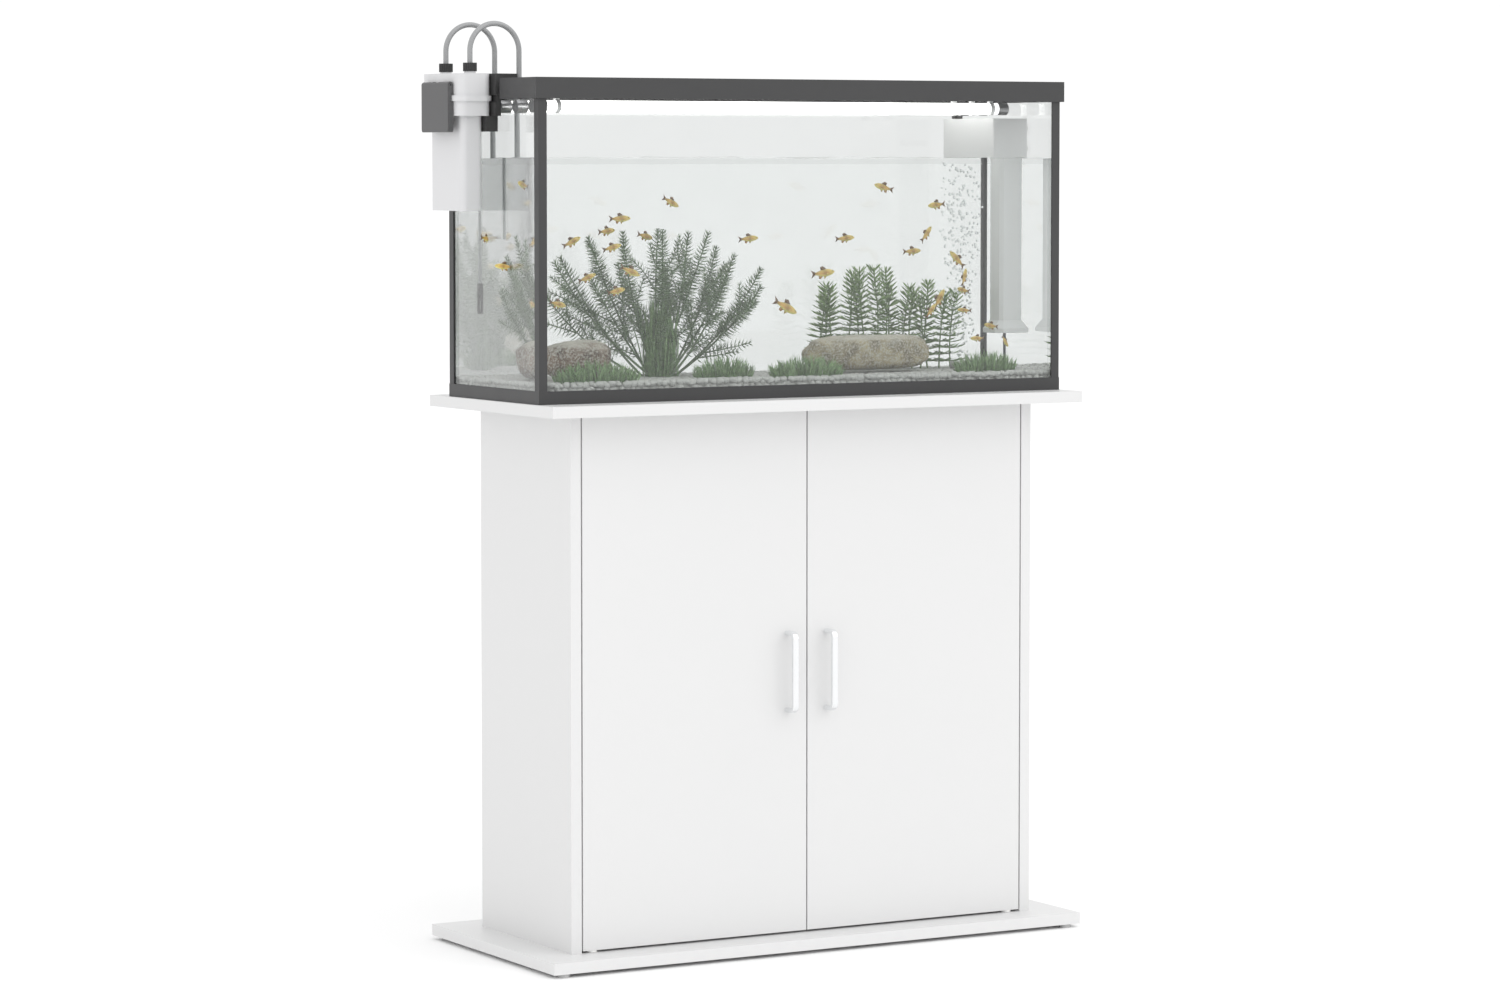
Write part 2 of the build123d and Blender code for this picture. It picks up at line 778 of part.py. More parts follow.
with BuildPart() as lamp_end_caps:
    for y in lamp_ys:
        for start in (lamp_left, lamp_right - cap_length):
            rod(facing_right(start, y, lamp_height), lamp_radius + cap_wall, cap_length)
    for y in lamp_ys:
        drill(
            facing_right(lamp_right - cap_end, y, lamp_height),
            lamp_radius,
            lamp_right - lamp_left - 2 * cap_end,
        )
keep(lamp_end_caps, "lamp_end_caps")

with BuildPart() as lamp_clips:
    clip_from_middle = flap_half + ledge_width / 2 + clip_clearance
    clip_starts = (-clip_from_middle - clip_width, clip_from_middle)
    for y in lamp_ys:
        for start in clip_starts:
            ring = facing_right(start, y, lamp_height)
            rod(ring, lamp_radius + clip_wall, clip_width)
            stem_y = (y - clip_width / 2, y + clip_width / 2)
            add_block((start, start + clip_width), stem_y, (lamp_height, pane_top))
            drill(facing_right(start + clip_width, y, lamp_height), lamp_radius, clip_width)
keep(lamp_clips, "lamp_clips")


# Hang-on filter
def head_shape(bottom, height, inset, corner, mode=Mode.ADD):
    """Adds or takes out the head's outline, inset all round, over a height."""
    with BuildSketch(level(bottom, head_x, head_middle)) as outline:
        RectangleRounded(head_width - 2 * inset, head_depth - 2 * inset, corner)
    extrude(outline.sketch, amount=height, mode=mode)


def canister_shape(bottom, height, inset, corner, mode=Mode.ADD):
    """Adds or takes out the canister's outline, inset all round, over a height."""
    head_shape(bottom, height, canister_inset + inset, corner, mode)


pipe_ys = (pipe_front, pipe_back)
cavity_corner = head_corner - head_wall
seat_bottom = head_bottom + seat_rise
latch_axis_x = latch_outer_x + latch_thickness / 2
latch_bottom = head_bottom - latch_below_head
latch_top = latch_bottom + latch_height
latch_axis_z = latch_top - latch_thickness / 2
boss_top = head_top + boss_height
nut_top = boss_top + nut_height

with BuildPart() as filter_head:
    head_shape(head_bottom, head_height, 0.0, head_corner)
    head_shape(head_bottom + collar_rise, collar_height, -collar_out, head_corner + collar_out)
    head_shape(head_bottom, head_height - head_wall, head_wall, cavity_corner, Mode.SUBTRACT)
    head_shape(seat_bottom, seat_height, head_wall, cavity_corner)
    seat_corner = cavity_corner - seat_width
    head_shape(seat_bottom, seat_height, head_wall + seat_width, seat_corner, Mode.SUBTRACT)
    for y in pipe_ys:
        rod(level(head_top, pipe_outer_x, y), boss_radius, boss_height)
        rod(level(boss_top, pipe_outer_x, y), spigot_radius, spigot_height)
        bore = spigot_height + boss_height + head_wall
        drill(level(boss_top + spigot_height, pipe_outer_x, y), pipe_radius + pipe_clearance, bore)
    knuckle_start = latch_middle - latch_knuckle_width / 2
    with BuildSketch(facing_front(knuckle_start, latch_axis_x, latch_axis_z)):
        Circle(latch_knuckle_radius)
        with Locations(((head_outer_x - latch_axis_x) / 2, 0)):
            Rectangle(head_outer_x - latch_axis_x, latch_neck)
        Circle(latch_pin_radius, mode=Mode.SUBTRACT)
    extrude(amount=-latch_knuckle_width)
keep(filter_head, "filter_head")

flange_top = seat_bottom - seal_height
canister_bottom = head_bottom - canister_height
canister_face = head_outer_x + canister_inset

with BuildPart() as filter_canister:
    canister_shape(canister_bottom, flange_top - canister_bottom, 0.0, canister_corner)
    head_shape(flange_top - canister_flange, canister_flange, head_wall + seal_clearance, cavity_corner)
    canister_shape(
        canister_bottom + canister_wall,
        flange_top - canister_bottom,
        canister_wall,
        canister_corner - canister_wall,
        Mode.SUBTRACT,
    )
    add_block(
        (canister_face - lug_out, canister_face),
        (latch_middle - lug_width / 2, latch_middle + lug_width / 2),
        (head_bottom - lug_below_head, head_bottom - lug_below_head + lug_height),
    )
keep(filter_canister, "filter_canister")

with BuildPart() as canister_seal:
    head_shape(flange_top, seal_height, head_wall + seal_clearance, cavity_corner)
    inner_corner = canister_corner - canister_wall
    canister_shape(flange_top, seal_height, canister_wall, inner_corner, Mode.SUBTRACT)
keep(canister_seal, "canister_seal")

with BuildPart() as filter_sponge:
    sponge_inset = canister_wall + sponge_clearance
    sponge_corner = canister_corner - sponge_inset
    sponge_height = canister_height - sponge_head_room
    canister_shape(canister_bottom + canister_wall, sponge_height, sponge_inset, sponge_corner)
keep(filter_sponge, "filter_sponge")

with BuildPart() as filter_latch:
    with BuildSketch(facing_front(latch_middle - latch_width / 2, latch_axis_x)):
        with Locations((0, latch_axis_z)):
            Circle(latch_thickness / 2)
        with Locations((0, (latch_axis_z + latch_bottom) / 2)):
            Rectangle(latch_thickness, latch_axis_z - latch_bottom)
    extrude(amount=-latch_width)
    fillet(edges().filter_by(Axis.X).group_by(Axis.Z)[0], latch_corner)
    collar_bottom = head_bottom + collar_rise
    cut(
        (head_outer_x - collar_out - collar_slack_out, head_outer_x),
        (latch_middle - latch_width / 2, latch_middle + latch_width / 2),
        (collar_bottom - collar_slack_bottom, collar_bottom + collar_height + collar_slack_top),
    )
    recess_half = latch_knuckle_width / 2 + latch_slack
    cut(
        (latch_outer_x + latch_skin, head_outer_x),
        (latch_middle - recess_half, latch_middle + recess_half),
        (latch_axis_z - latch_knuckle_radius - latch_slack, latch_top),
    )
    tip_top = head_bottom - lug_below_head - latch_slack
    add_block(
        (head_outer_x - latch_gap, head_outer_x - latch_gap + hook_tip),
        (latch_middle - lug_width / 2, latch_middle + lug_width / 2),
        (tip_top - hook_tip_height, tip_top),
    )
    drill(
        facing_front(latch_middle - latch_width / 2, latch_axis_x, latch_axis_z),
        latch_pin_radius + pivot_running_gap,
        latch_width,
    )
keep(filter_latch, "filter_latch")

with BuildPart() as latch_pin:
    rod(
        facing_front(latch_middle + latch_width / 2 - latch_pin_inset, latch_axis_x, latch_axis_z),
        latch_pin_radius,
        latch_width - 2 * latch_pin_inset,
    )
keep(latch_pin, "latch_pin")

with BuildPart() as gland_nuts:
    for y in pipe_ys:
        with BuildSketch(level(boss_top, pipe_outer_x, y)):
            Circle(nut_radius)
            with PolarLocations(nut_radius, nut_grooves):
                Circle(nut_groove_radius, mode=Mode.SUBTRACT)
        extrude(amount=nut_height)
        drill(level(nut_top, pipe_outer_x, y), pipe_radius + 2 * pipe_clearance, nut_height)
        drill(level(boss_top + spigot_height, pipe_outer_x, y), spigot_radius, spigot_height)
keep(gland_nuts, "gland_nuts")


def bent_pipe(y, end_height, name):
    """An upside-down U pipe from the head, over the rim and down into the water."""
    arc_height = head_top + pipe_above_head - pipe_bend
    with BuildPart() as pipe:
        with BuildLine(Plane(origin=(stand_x, y, 0), x_dir=(1, 0, 0), z_dir=(0, -1, 0))) as route:
            up = Line((pipe_outer_x, head_top - pipe_in_head), (pipe_outer_x, arc_height))
            over = TangentArc(up @ 1, (pipe_inner_x, arc_height), tangent=up % 1)
            Line(over @ 1, (pipe_inner_x, end_height))
        with BuildSketch(level(head_top - pipe_in_head, pipe_outer_x, y)):
            Circle(pipe_radius)
            Circle(pipe_radius - pipe_wall, mode=Mode.SUBTRACT)
        sweep(path=route.line)
    keep(pipe, name)


intake_end = stand_height + intake_end_rise
bent_pipe(pipe_front, stand_height + outlet_end_rise, "outlet_pipe")
bent_pipe(pipe_back, intake_end, "intake_pipe")

with BuildPart() as intake_strainer:
    strainer_bottom = intake_end - strainer_height / 2
    rod(level(strainer_bottom, pipe_inner_x, pipe_back), strainer_radius, strainer_height)
    drill(
        level(intake_end, pipe_inner_x, pipe_back),
        strainer_radius - strainer_wall,
        strainer_height / 2 - strainer_wall,
    )
    socket_depth = strainer_height / 2 + strainer_wall
    drill(level(strainer_bottom + strainer_height, pipe_inner_x, pipe_back), pipe_radius, socket_depth)
    with BuildSketch(level(strainer_bottom + 2 * strainer_wall, pipe_inner_x, pipe_back)):
        with PolarLocations(strainer_radius, strainer_slots):
            Rectangle(3 * strainer_wall, strainer_slot_width)
    extrude(amount=strainer_height / 2 - 4 * strainer_wall, mode=Mode.SUBTRACT)
keep(intake_strainer, "intake_strainer")

with BuildPart() as rim_bracket:
    with BuildSketch(facing_front(hook_front)):
        with BuildLine():
            Polyline(
                (head_inner_x, head_bottom),
                (-glass_half, head_bottom),
                (-glass_half, pane_top),
                (-inner_half + hook_clearance, pane_top),
                (-inner_half + hook_clearance, pane_top - hook_leg_height),
                (-inner_half + hook_clearance + hook_leg, pane_top - hook_leg_height),
                (-inner_half + hook_clearance + hook_leg, pane_top),
                (head_inner_x + hook_reach, pane_top),
                (head_inner_x + hook_reach, pane_top + hook_top),
                (head_inner_x, pane_top + hook_top),
                close=True,
            )
        make_face()
    extrude(amount=hook_front - hook_back)
    add_block(
        (head_inner_x - canister_inset, -glass_half),
        (hook_front + spacer_inset + hook_past_head / 2, hook_back - spacer_inset),
        (head_bottom - spacer_height, head_bottom),
    )
    cut(
        (head_inner_x, head_inner_x + collar_out + collar_slack_out),
        (hook_front, hook_back),
        (collar_bottom - collar_slack_bottom, collar_bottom + collar_height + collar_slack_bottom),
    )
keep(rim_bracket, "rim_bracket")


# Pumps
def pump_stator(x, y, bottom):
    """Adds a motor block with a blind well for the rotor's magnet."""
    block_bottom = bottom + impeller_height + impeller_gap
    with BuildSketch(level(block_bottom, x, y)) as outline:
        RectangleRounded(stator_size, stator_size, stator_corner)
    extrude(outline.sketch, amount=stator_height)
    drill(level(block_bottom + well_depth, x, y), well_radius, well_depth)
    drill(level(block_bottom + well_depth + shaft_in_stator, x, y), shaft_radius, shaft_in_stator)


def pump_impeller(x, y, bottom, name):
    """A rotor: a magnet above a disc with straight blades, bored for its shaft."""
    with BuildPart() as piece:
        disc_bottom = bottom + impeller_height - impeller_disc
        rod(level(bottom, x, y), impeller_hub_radius, impeller_height)
        rod(level(disc_bottom, x, y), impeller_radius, impeller_disc)
        with BuildSketch(level(bottom, x, y)):
            with PolarLocations((impeller_radius + impeller_hub_radius) / 2, impeller_blades):
                Rectangle(impeller_radius - impeller_hub_radius + blade_in_hub, blade_thickness)
        extrude(amount=impeller_height)
        rod(level(bottom + impeller_height, x, y), magnet_radius, impeller_gap + magnet_length)
        total = impeller_height + impeller_gap + magnet_length
        drill(level(bottom + total, x, y), shaft_radius + shaft_running_gap, total)
    keep(piece, name)


head_pump = (head_x, head_middle, head_top - head_pump_below_top)
inner_pump = ((box_left + box_right) / 2, 0.0, box_bottom + inner_pump_rise)
pump_impeller(*head_pump, "pump_impeller")
pump_impeller(*inner_pump, "inner_impeller")

with BuildPart() as pump_stators:
    pump_stator(*head_pump)
    pump_stator(*inner_pump)
keep(pump_stators, "pump_stators")

with BuildPart() as impeller_shafts:
    shaft_length = impeller_height + impeller_gap + well_depth + shaft_in_stator
    for x, y, bottom in (head_pump, inner_pump):
        rod(level(bottom, x, y), shaft_radius, shaft_length)
keep(impeller_shafts, "impeller_shafts")

# Inner filter
column_bottom = stand_height + column_bottom_rise
foot_bottom = stand_height + foot_rise
column_x = box_left + column_width / 2
column_y = box_front + column_depth / 2
knob_x = box_left + knob_from_side

with BuildPart() as inner_filter_box:
    box_y = (box_front + box_back) / 2
    with BuildSketch(level(box_bottom, (box_left + box_right) / 2, box_y)):
        RectangleRounded(box_width, box_back - box_front, box_corner)
    extrude(amount=box_top - box_bottom)
    with BuildSketch(level(box_bottom + box_wall, (box_left + box_right) / 2, box_y)):
        Rectangle(box_width - 2 * box_wall, box_back - box_front - 2 * box_wall)
    extrude(amount=box_top - box_bottom - 2 * box_wall, mode=Mode.SUBTRACT)
    with BuildSketch(level(box_bottom, column_x, column_y)):
        Rectangle(column_width - 2 * waterway_inset, column_depth - 2 * waterway_inset)
    extrude(amount=box_wall, mode=Mode.SUBTRACT)
    drill(level(box_top, knob_x, knob_depth), spindle_radius + spindle_running_gap, box_wall)
    with BuildSketch(facing_front(box_back, (box_left + box_right) / 2, box_bottom + slot_rise)):
        with GridLocations(slot_width + box_wall, 1, outlet_slots, 1):
            Rectangle(slot_width, slot_height)
    extrude(amount=box_wall, mode=Mode.SUBTRACT)
keep(inner_filter_box, "inner_filter_box")


def column_outline(inset):
    """Draws the column's outline, its front left corner chamfered, inset all round."""
    with BuildSketch(mode=Mode.PRIVATE) as outline:
        Rectangle(column_width, column_depth)
        corner = outline.vertices().sort_by(Axis.X)[:2].sort_by(Axis.Y)[0]
        chamfer(corner, column_chamfer)
        if inset:
            offset(amount=-inset, kind=Kind.INTERSECTION)
    add(outline.sketch)


with BuildPart() as inner_filter_column:
    with BuildSketch(level(column_bottom, column_x, column_y)):
        column_outline(0.0)
    extrude(amount=box_bottom - column_bottom)
    with BuildSketch(level(foot_bottom, column_x, column_y)):
        column_outline(-foot_flare)
    extrude(amount=foot_straight)
    with BuildSketch(level(foot_bottom + foot_straight, column_x, column_y)):
        column_outline(-foot_flare)
    with BuildSketch(level(column_bottom, column_x, column_y)):
        column_outline(0.0)
    loft()
    with BuildSketch(level(foot_bottom, column_x, column_y)):
        column_outline(box_wall)
    extrude(amount=box_bottom - foot_bottom, mode=Mode.SUBTRACT)
keep(inner_filter_column, "inner_filter_column")

with BuildPart() as inner_filter_knob:
    with BuildSketch(level(box_top + knob_gap, knob_x, knob_depth)):
        Circle(knob_radius)
        with PolarLocations(knob_radius, knob_grooves):
            Circle(knob_groove_radius, mode=Mode.SUBTRACT)
    extrude(amount=knob_height)
    spindle_bottom = box_top - spindle_length
    rod(level(spindle_bottom, knob_x, knob_depth), spindle_radius, spindle_length + knob_gap)
    rod(level(spindle_bottom, knob_x, knob_depth), gate_radius, gate_height)
keep(inner_filter_knob, "inner_filter_knob")

with BuildPart() as suction_cups:
    for y in (box_front + cup_from_side, box_back - cup_from_side):
        for z in (box_bottom + cup_from_end, box_top - cup_from_end):
            rod(facing_right(box_right, y, z), cup_neck_radius, cup_gap)
            rod(facing_right(inner_half - cup_lip, y, z), cup_radius, cup_lip)
keep(suction_cups, "suction_cups")

# Air line from the column's foot to an air stone on the gravel
riser_x = column_x
riser_y = column_y + riser_off_middle
line_height = gravel_top + stone_radius
stone_x = box_left - stone_from_column
bend_reach = hypot(stone_x - riser_x, stone_depth - riser_y)

with BuildPart() as air_riser:
    with BuildLine() as air_route:
        FilletPolyline(
            (stand_x + riser_x, riser_y, foot_bottom + foot_straight),
            (stand_x + riser_x, riser_y, line_height),
            (stand_x + stone_x, stone_depth, line_height),
            radius=riser_bend,
        )
    with BuildSketch(level(foot_bottom + foot_straight, riser_x, riser_y)):
        Circle(riser_radius)
    sweep(path=air_route.line)
keep(air_riser, "air_riser")

with BuildPart() as air_stone:
    along = ((stone_x - riser_x) / bend_reach, (stone_depth - riser_y) / bend_reach, 0)
    rod(Plane(origin=(stand_x + stone_x, stone_depth, line_height), z_dir=along), stone_radius, stone_length)
keep(air_stone, "air_stone")

# Gravel, rocks and plants, each a plain solid of the right outline
gravel_half = inner_half - gravel_clearance
gravel_front = inner_front - gravel_clearance
keep(
    block((-gravel_half, gravel_half), (-gravel_front, gravel_front), (gravel_bottom, gravel_top)),
    "gravel_bed",
)

with BuildPart() as rocks:
    for side, (in_from_end, in_from_front, width, depth) in ((-1, left_rock), (1, right_rock)):
        x, y = side * (inner_half - in_from_end), -inner_front + in_from_front
        with BuildSketch(level(gravel_top, x, y)):
            Ellipse(width / 2, depth / 2)
        with BuildSketch(level(gravel_top + rock_waist * rock_height, x, y)):
            Ellipse(rock_swell * width / 2, rock_swell * depth / 2)
        with BuildSketch(level(gravel_top + rock_height, x, y)):
            Ellipse(rock_crown * width / 2, rock_crown * depth / 2)
        loft()
keep(rocks, "rocks")

stems_right = box_left - stems_from_box
stems_left = stems_right - stems_length
bush_left = -inner_half + bush_from_left
bush_right = stems_left - bush_from_stems
bush_middle = (bush_left + bush_right) / 2
bush_half_width = (bush_right - bush_left) / 2
bush_half_depth = inner_front - bush_from_front

with BuildPart() as plant_bush:
    rod(level(gravel_top, bush_middle), bush_stem_radius, stand_height + bush_crown_rise - gravel_top)
    with BuildSketch(level(stand_height + bush_crown_rise, bush_middle)):
        Ellipse(bush_crown * bush_half_width, bush_crown * bush_half_depth)
    with BuildSketch(level(stand_height + bush_middle_rise, bush_middle)):
        Ellipse(bush_half_width, bush_half_depth)
    with BuildSketch(level(stand_height + bush_top_rise, bush_middle)):
        Ellipse(bush_tip * bush_half_width, bush_tip * bush_half_depth)
    loft()
keep(plant_bush, "plant_bush")

stems_z = (gravel_top, gravel_top + stems_height)
stems = block((stems_left, stems_right), (stems_front, stems_back), stems_z, stems_corner)
keep(stems, "plant_stems")

tufts = (
    (-inner_half + left_tuft[0], *left_tuft[1:]),
    *middle_tufts,
    (inner_half - right_tuft[0], *right_tuft[1:]),
)

with BuildPart() as grass_tufts:
    for x, in_from_front, width in tufts:
        with BuildSketch(level(gravel_top, x, -inner_front + in_from_front)):
            RectangleRounded(width, tuft_depth, tuft_corner)
        extrude(amount=tuft_height, taper=tuft_taper)
keep(grass_tufts, "grass_tufts")
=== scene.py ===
import random
from math import copysign, cos, pi, radians, sin, tau

import bmesh
import bpy
import numpy as np
from bpy.props import FloatProperty, FloatVectorProperty, IntProperty, PointerProperty
from mathutils import Matrix, Vector, noise


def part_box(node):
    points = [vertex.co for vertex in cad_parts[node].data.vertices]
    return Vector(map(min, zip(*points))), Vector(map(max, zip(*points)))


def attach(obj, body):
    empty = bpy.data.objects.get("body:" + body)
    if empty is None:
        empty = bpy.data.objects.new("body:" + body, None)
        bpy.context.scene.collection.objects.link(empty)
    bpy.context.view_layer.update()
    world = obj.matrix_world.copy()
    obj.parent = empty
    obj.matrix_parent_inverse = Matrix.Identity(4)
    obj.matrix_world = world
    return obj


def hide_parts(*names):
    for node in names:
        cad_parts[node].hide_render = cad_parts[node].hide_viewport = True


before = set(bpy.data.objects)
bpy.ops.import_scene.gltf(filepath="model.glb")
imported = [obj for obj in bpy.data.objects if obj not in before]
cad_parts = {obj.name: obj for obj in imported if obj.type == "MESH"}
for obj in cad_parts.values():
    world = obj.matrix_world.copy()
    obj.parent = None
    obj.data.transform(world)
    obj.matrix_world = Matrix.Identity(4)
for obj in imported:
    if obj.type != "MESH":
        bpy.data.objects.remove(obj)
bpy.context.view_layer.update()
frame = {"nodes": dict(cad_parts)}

bl_info = {
    "name": "Aquarium on Stand",
    "version": (1, 0, 0),
    "blender": (4, 5, 0),
    "location": "3D View > Sidebar > Aquarium",
    "description": "Dresses the aquarium and its stand with finishes, water, planting and fish",
    "category": "Object",
}

MM = 0.001


# ---------------- sizes and colours


def paint(label, text, default):
    """A colour setting."""
    return FloatVectorProperty(
        name=label, description=text, default=default, subtype="COLOR", size=3, min=0.0, max=1.0
    )


def number(label, text, default, **more):
    """A plain setting."""
    return FloatProperty(name=label, description=text, default=default, **more)


def measure(label, text, default):
    """A setting in metres."""
    return number(label, text, default, unit="LENGTH", subtype="DISTANCE", min=0.0)


class StandFinish(bpy.types.PropertyGroup):
    """Colours of the cabinet and its hardware."""

    board: paint("Board", "Melamine face of the boards and doors", (0.73, 0.73, 0.73))
    back_sheet: paint("Back sheet", "Thin sheet behind the cabinet", (0.72, 0.72, 0.71))
    handle: paint("Handles", "Bright aluminium of the handles", (0.86, 0.87, 0.88))
    glide: paint("Glides", "Plastic feet", (0.45, 0.45, 0.45))
    peel_size: measure("Board texture", "Size of the faint texture on the boards", 0.0016)


class TankFinish(bpy.types.PropertyGroup):
    """Glass, frame and water."""

    glass_tint: paint("Glass tint", "Colour that light takes on in a pane", (0.888, 0.897, 0.894))
    frame: paint("Frame", "Black plastic of the frame and hood", (0.041, 0.041, 0.042))
    water_tint: paint("Water tint", "Colour that light takes on in water", (0.893, 0.905, 0.900))
    water_level: measure("Water level", "Height of the water above the floor", 1.0446)
    wave_height: measure("Waves", "Height of the ripples", 0.0024)
    seam: measure("Seam", "Width of the silicone seams", 0.003)


class LampFinish(bpy.types.PropertyGroup):
    """The lamp under the hood."""

    light: paint("Light", "Colour of the lit tubes", (1.0, 0.995, 0.98))
    strength: number("Strength", "Brightness of the tubes", 3.2, min=0.0)
    cap: paint("End caps", "Metal ends of the tubes", (0.48, 0.48, 0.49))


class FilterFinish(bpy.types.PropertyGroup):
    """Colours of the two filters."""

    housing: paint("Housing", "White plastic outside the tank", (0.69, 0.69, 0.70))
    inner: paint("Inner filter", "Pale grey plastic in the tank", (0.80, 0.80, 0.80))
    latch: paint("Latch", "Grey plastic clamp", (0.082, 0.082, 0.084))
    black: paint("Black parts", "Nuts, strainer and bracket", (0.030, 0.030, 0.031))
    pipe: paint("Pipes", "Smoked plastic of the pipes", (0.33, 0.335, 0.34))


class PlantingFinish(bpy.types.PropertyGroup):
    """What lies and grows in the tank."""

    pebble_size: measure("Pebbles", "Typical pebble", 0.0118)
    pebble_pale: paint("Pale pebbles", "Lightest pebbles", (1.0, 1.0, 0.98))
    pebble_dark: paint("Dark pebbles", "Darkest pebbles", (0.38, 0.38, 0.35))
    bush: paint("Bush", "Needles of the bush", (0.18, 0.27, 0.14))
    bush_tip: paint("Bush tips", "Young needles", (0.33, 0.44, 0.27))
    stem: paint("Stem plant", "Leaves of the stem plant", (0.19, 0.31, 0.12))
    stem_tip: paint("Stem plant tips", "Young leaves", (0.42, 0.58, 0.25))
    grass: paint("Grass", "Grass tufts", (0.19, 0.34, 0.13))
    grass_tip: paint("Grass tips", "Ends of the blades", (0.42, 0.60, 0.30))
    rock_brown: paint("Brown rock", "The left rock", (0.165, 0.105, 0.072))
    rock_sand: paint("Sand rock", "The right rock", (0.34, 0.29, 0.185))
    # Colour of the pale specks, and the painted light on the rocks' upper faces where the lamp
    # falls
    rock_specks_and_lit_tops: paint("Specks and lit tops", "Pale upper faces of the rocks", (0.58, 0.56, 0.49))


class FishFinish(bpy.types.PropertyGroup):
    """The fish and the bubbles."""

    length: measure("Fish length", "Nose to tail of a full-grown fish", 0.029)
    gold: paint("Gold", "Back and head", (0.98, 0.80, 0.24))
    orange: paint("Orange", "Flank", (0.80, 0.42, 0.12))
    marking: paint("Markings", "Dark fins and bands", (0.16, 0.09, 0.05))
    bubbles: IntProperty(name="Bubbles", description="How many bubbles rise", default=330, min=1)


class StudioFinish(bpy.types.PropertyGroup):
    """Floor, lights and camera."""

    floor: paint("Floor", "Plain pale floor", (0.96, 0.96, 0.96))
    surround: number("Surround", "Brightness of the plain surround", 1.03, min=0.0)
    sun: number("Soft light", "Strength of the broad soft light", 0.66, min=0.0)
    lens: number("Lens", "Focal length of the camera", 109.93, subtype="DISTANCE_CAMERA")


GROUPS = {
    "aquarium_stand": StandFinish,
    "aquarium_tank": TankFinish,
    "aquarium_lamp": LampFinish,
    "aquarium_filter": FilterFinish,
    "aquarium_planting": PlantingFinish,
    "aquarium_fish": FishFinish,
    "aquarium_studio": StudioFinish,
}

# Colours of small and hidden parts.
STEEL = (0.56, 0.57, 0.58)
ZINC = (0.50, 0.51, 0.53)
NYLON = (0.78, 0.77, 0.73)
SILICONE = (0.90, 0.91, 0.91)
LAMP_CLIP = (0.88, 0.88, 0.88)
SEAL_RUBBER = (0.05, 0.05, 0.05)
FOAM = (0.045, 0.06, 0.10)
MOTOR_RESIN = (0.10, 0.10, 0.11)
ROTOR = (0.50, 0.51, 0.50)
CERAMIC = (0.80, 0.79, 0.76)
CUP_RUBBER = (0.86, 0.88, 0.87)
AIR_HOSE = (0.72, 0.73, 0.73)
AIR_STONE = (0.42, 0.42, 0.40)
BUBBLE = (0.86, 0.88, 0.88)
FISH_NET = (0.30, 0.18, 0.06)
EYE = (0.01, 0.01, 0.01)

# How strongly each clear stuff bends light.
GLASS_IOR, WATER_IOR, SILICONE_IOR, CUP_IOR, BUBBLE_IOR = 1.46, 1.333, 1.36, 1.30, 1.42


# ---------------- finishes

def new_material(name):
    """A material, its nodes and its shader."""
    made = bpy.data.materials.new(name)
    made.use_nodes = True
    return made, made.node_tree, made.node_tree.nodes["Principled BSDF"]


def point_tint(tree):
    """The node that reads each point's tint."""
    tint = tree.nodes.new("ShaderNodeAttribute")
    tint.attribute_name = "tint"
    return tint


def noise_field(tree, size, detail=3.0, stretch=(1.0, 1.0, 1.0), kind="ShaderNodeTexNoise"):
    """A pattern node in the object's own place, its features about size metres across."""
    place = tree.nodes.new("ShaderNodeTexCoord")
    scaled = tree.nodes.new("ShaderNodeMapping")
    scaled.inputs["Scale"].default_value = [s / size for s in stretch]
    tree.links.new(place.outputs["Object"], scaled.inputs["Vector"])
    field = tree.nodes.new(kind)
    field.inputs["Scale"].default_value = 1.0
    if "Detail" in field.inputs:
        field.inputs["Detail"].default_value = detail
    tree.links.new(scaled.outputs["Vector"], field.inputs["Vector"])
    return field


def mixed_colour(tree, factor, first, second):
    """The colour between first and second that factor picks."""
    mix = tree.nodes.new("ShaderNodeMix")
    mix.data_type = "RGBA"
    tree.links.new(factor, mix.inputs[0])
    for socket, colour in ((mix.inputs[6], first), (mix.inputs[7], second)):
        if isinstance(colour, bpy.types.NodeSocket):
            tree.links.new(colour, socket)
        else:
            socket.default_value = (*colour, 1.0)
    return mix.outputs[2]


def ranged(tree, value, low, high, from_low=0.0, from_high=1.0):
    """value, mapped to run from low to high."""
    node = tree.nodes.new("ShaderNodeMapRange")
    tree.links.new(value, node.inputs["Value"])
    ends = {"From Min": from_low, "From Max": from_high, "To Min": low, "To Max": high}
    for socket, end in ends.items():
        node.inputs[socket].default_value = end
    return node.outputs["Result"]


def finish(tree, shader, colour, gloss, height, strength, depth):
    """Gives a shader its colour, its gloss and bumps of a depth in metres."""
    bump = tree.nodes.new("ShaderNodeBump")
    bump.inputs["Strength"].default_value = strength
    bump.inputs["Distance"].default_value = depth
    tree.links.new(height, bump.inputs["Height"])
    tree.links.new(bump.outputs["Normal"], shader.inputs["Normal"])
    tree.links.new(colour, shader.inputs["Base Color"])
    tree.links.new(gloss, shader.inputs["Roughness"])


def shade(colour, amount):
    """A colour made lighter or darker."""
    return tuple(min(1.0, max(0.0, c * amount)) for c in colour)


def moulded(name, colour, roughness, mottle=0.04, cloud=0.05, grain=0.0012, depth=0.25,
            metallic=0.0, specular=0.5, stretch=(1.0, 1.0, 1.0)):
    """A solid finish: faint colour clouds, uneven gloss and a fine grain."""
    if name in bpy.data.materials:
        return bpy.data.materials[name]
    made, tree, shader = new_material(name)
    clouds = noise_field(tree, cloud).outputs[0]
    colours = mixed_colour(tree, clouds, shade(colour, 1 - mottle), shade(colour, 1 + mottle))
    gloss = ranged(tree, clouds, roughness * 0.85, min(1.0, roughness * 1.18))
    fine = noise_field(tree, grain, 4.0, stretch).outputs[0]
    finish(tree, shader, colours, gloss, fine, depth, grain * 0.25)
    shader.inputs["Metallic"].default_value = metallic
    shader.inputs["Specular IOR Level"].default_value = specular
    return made


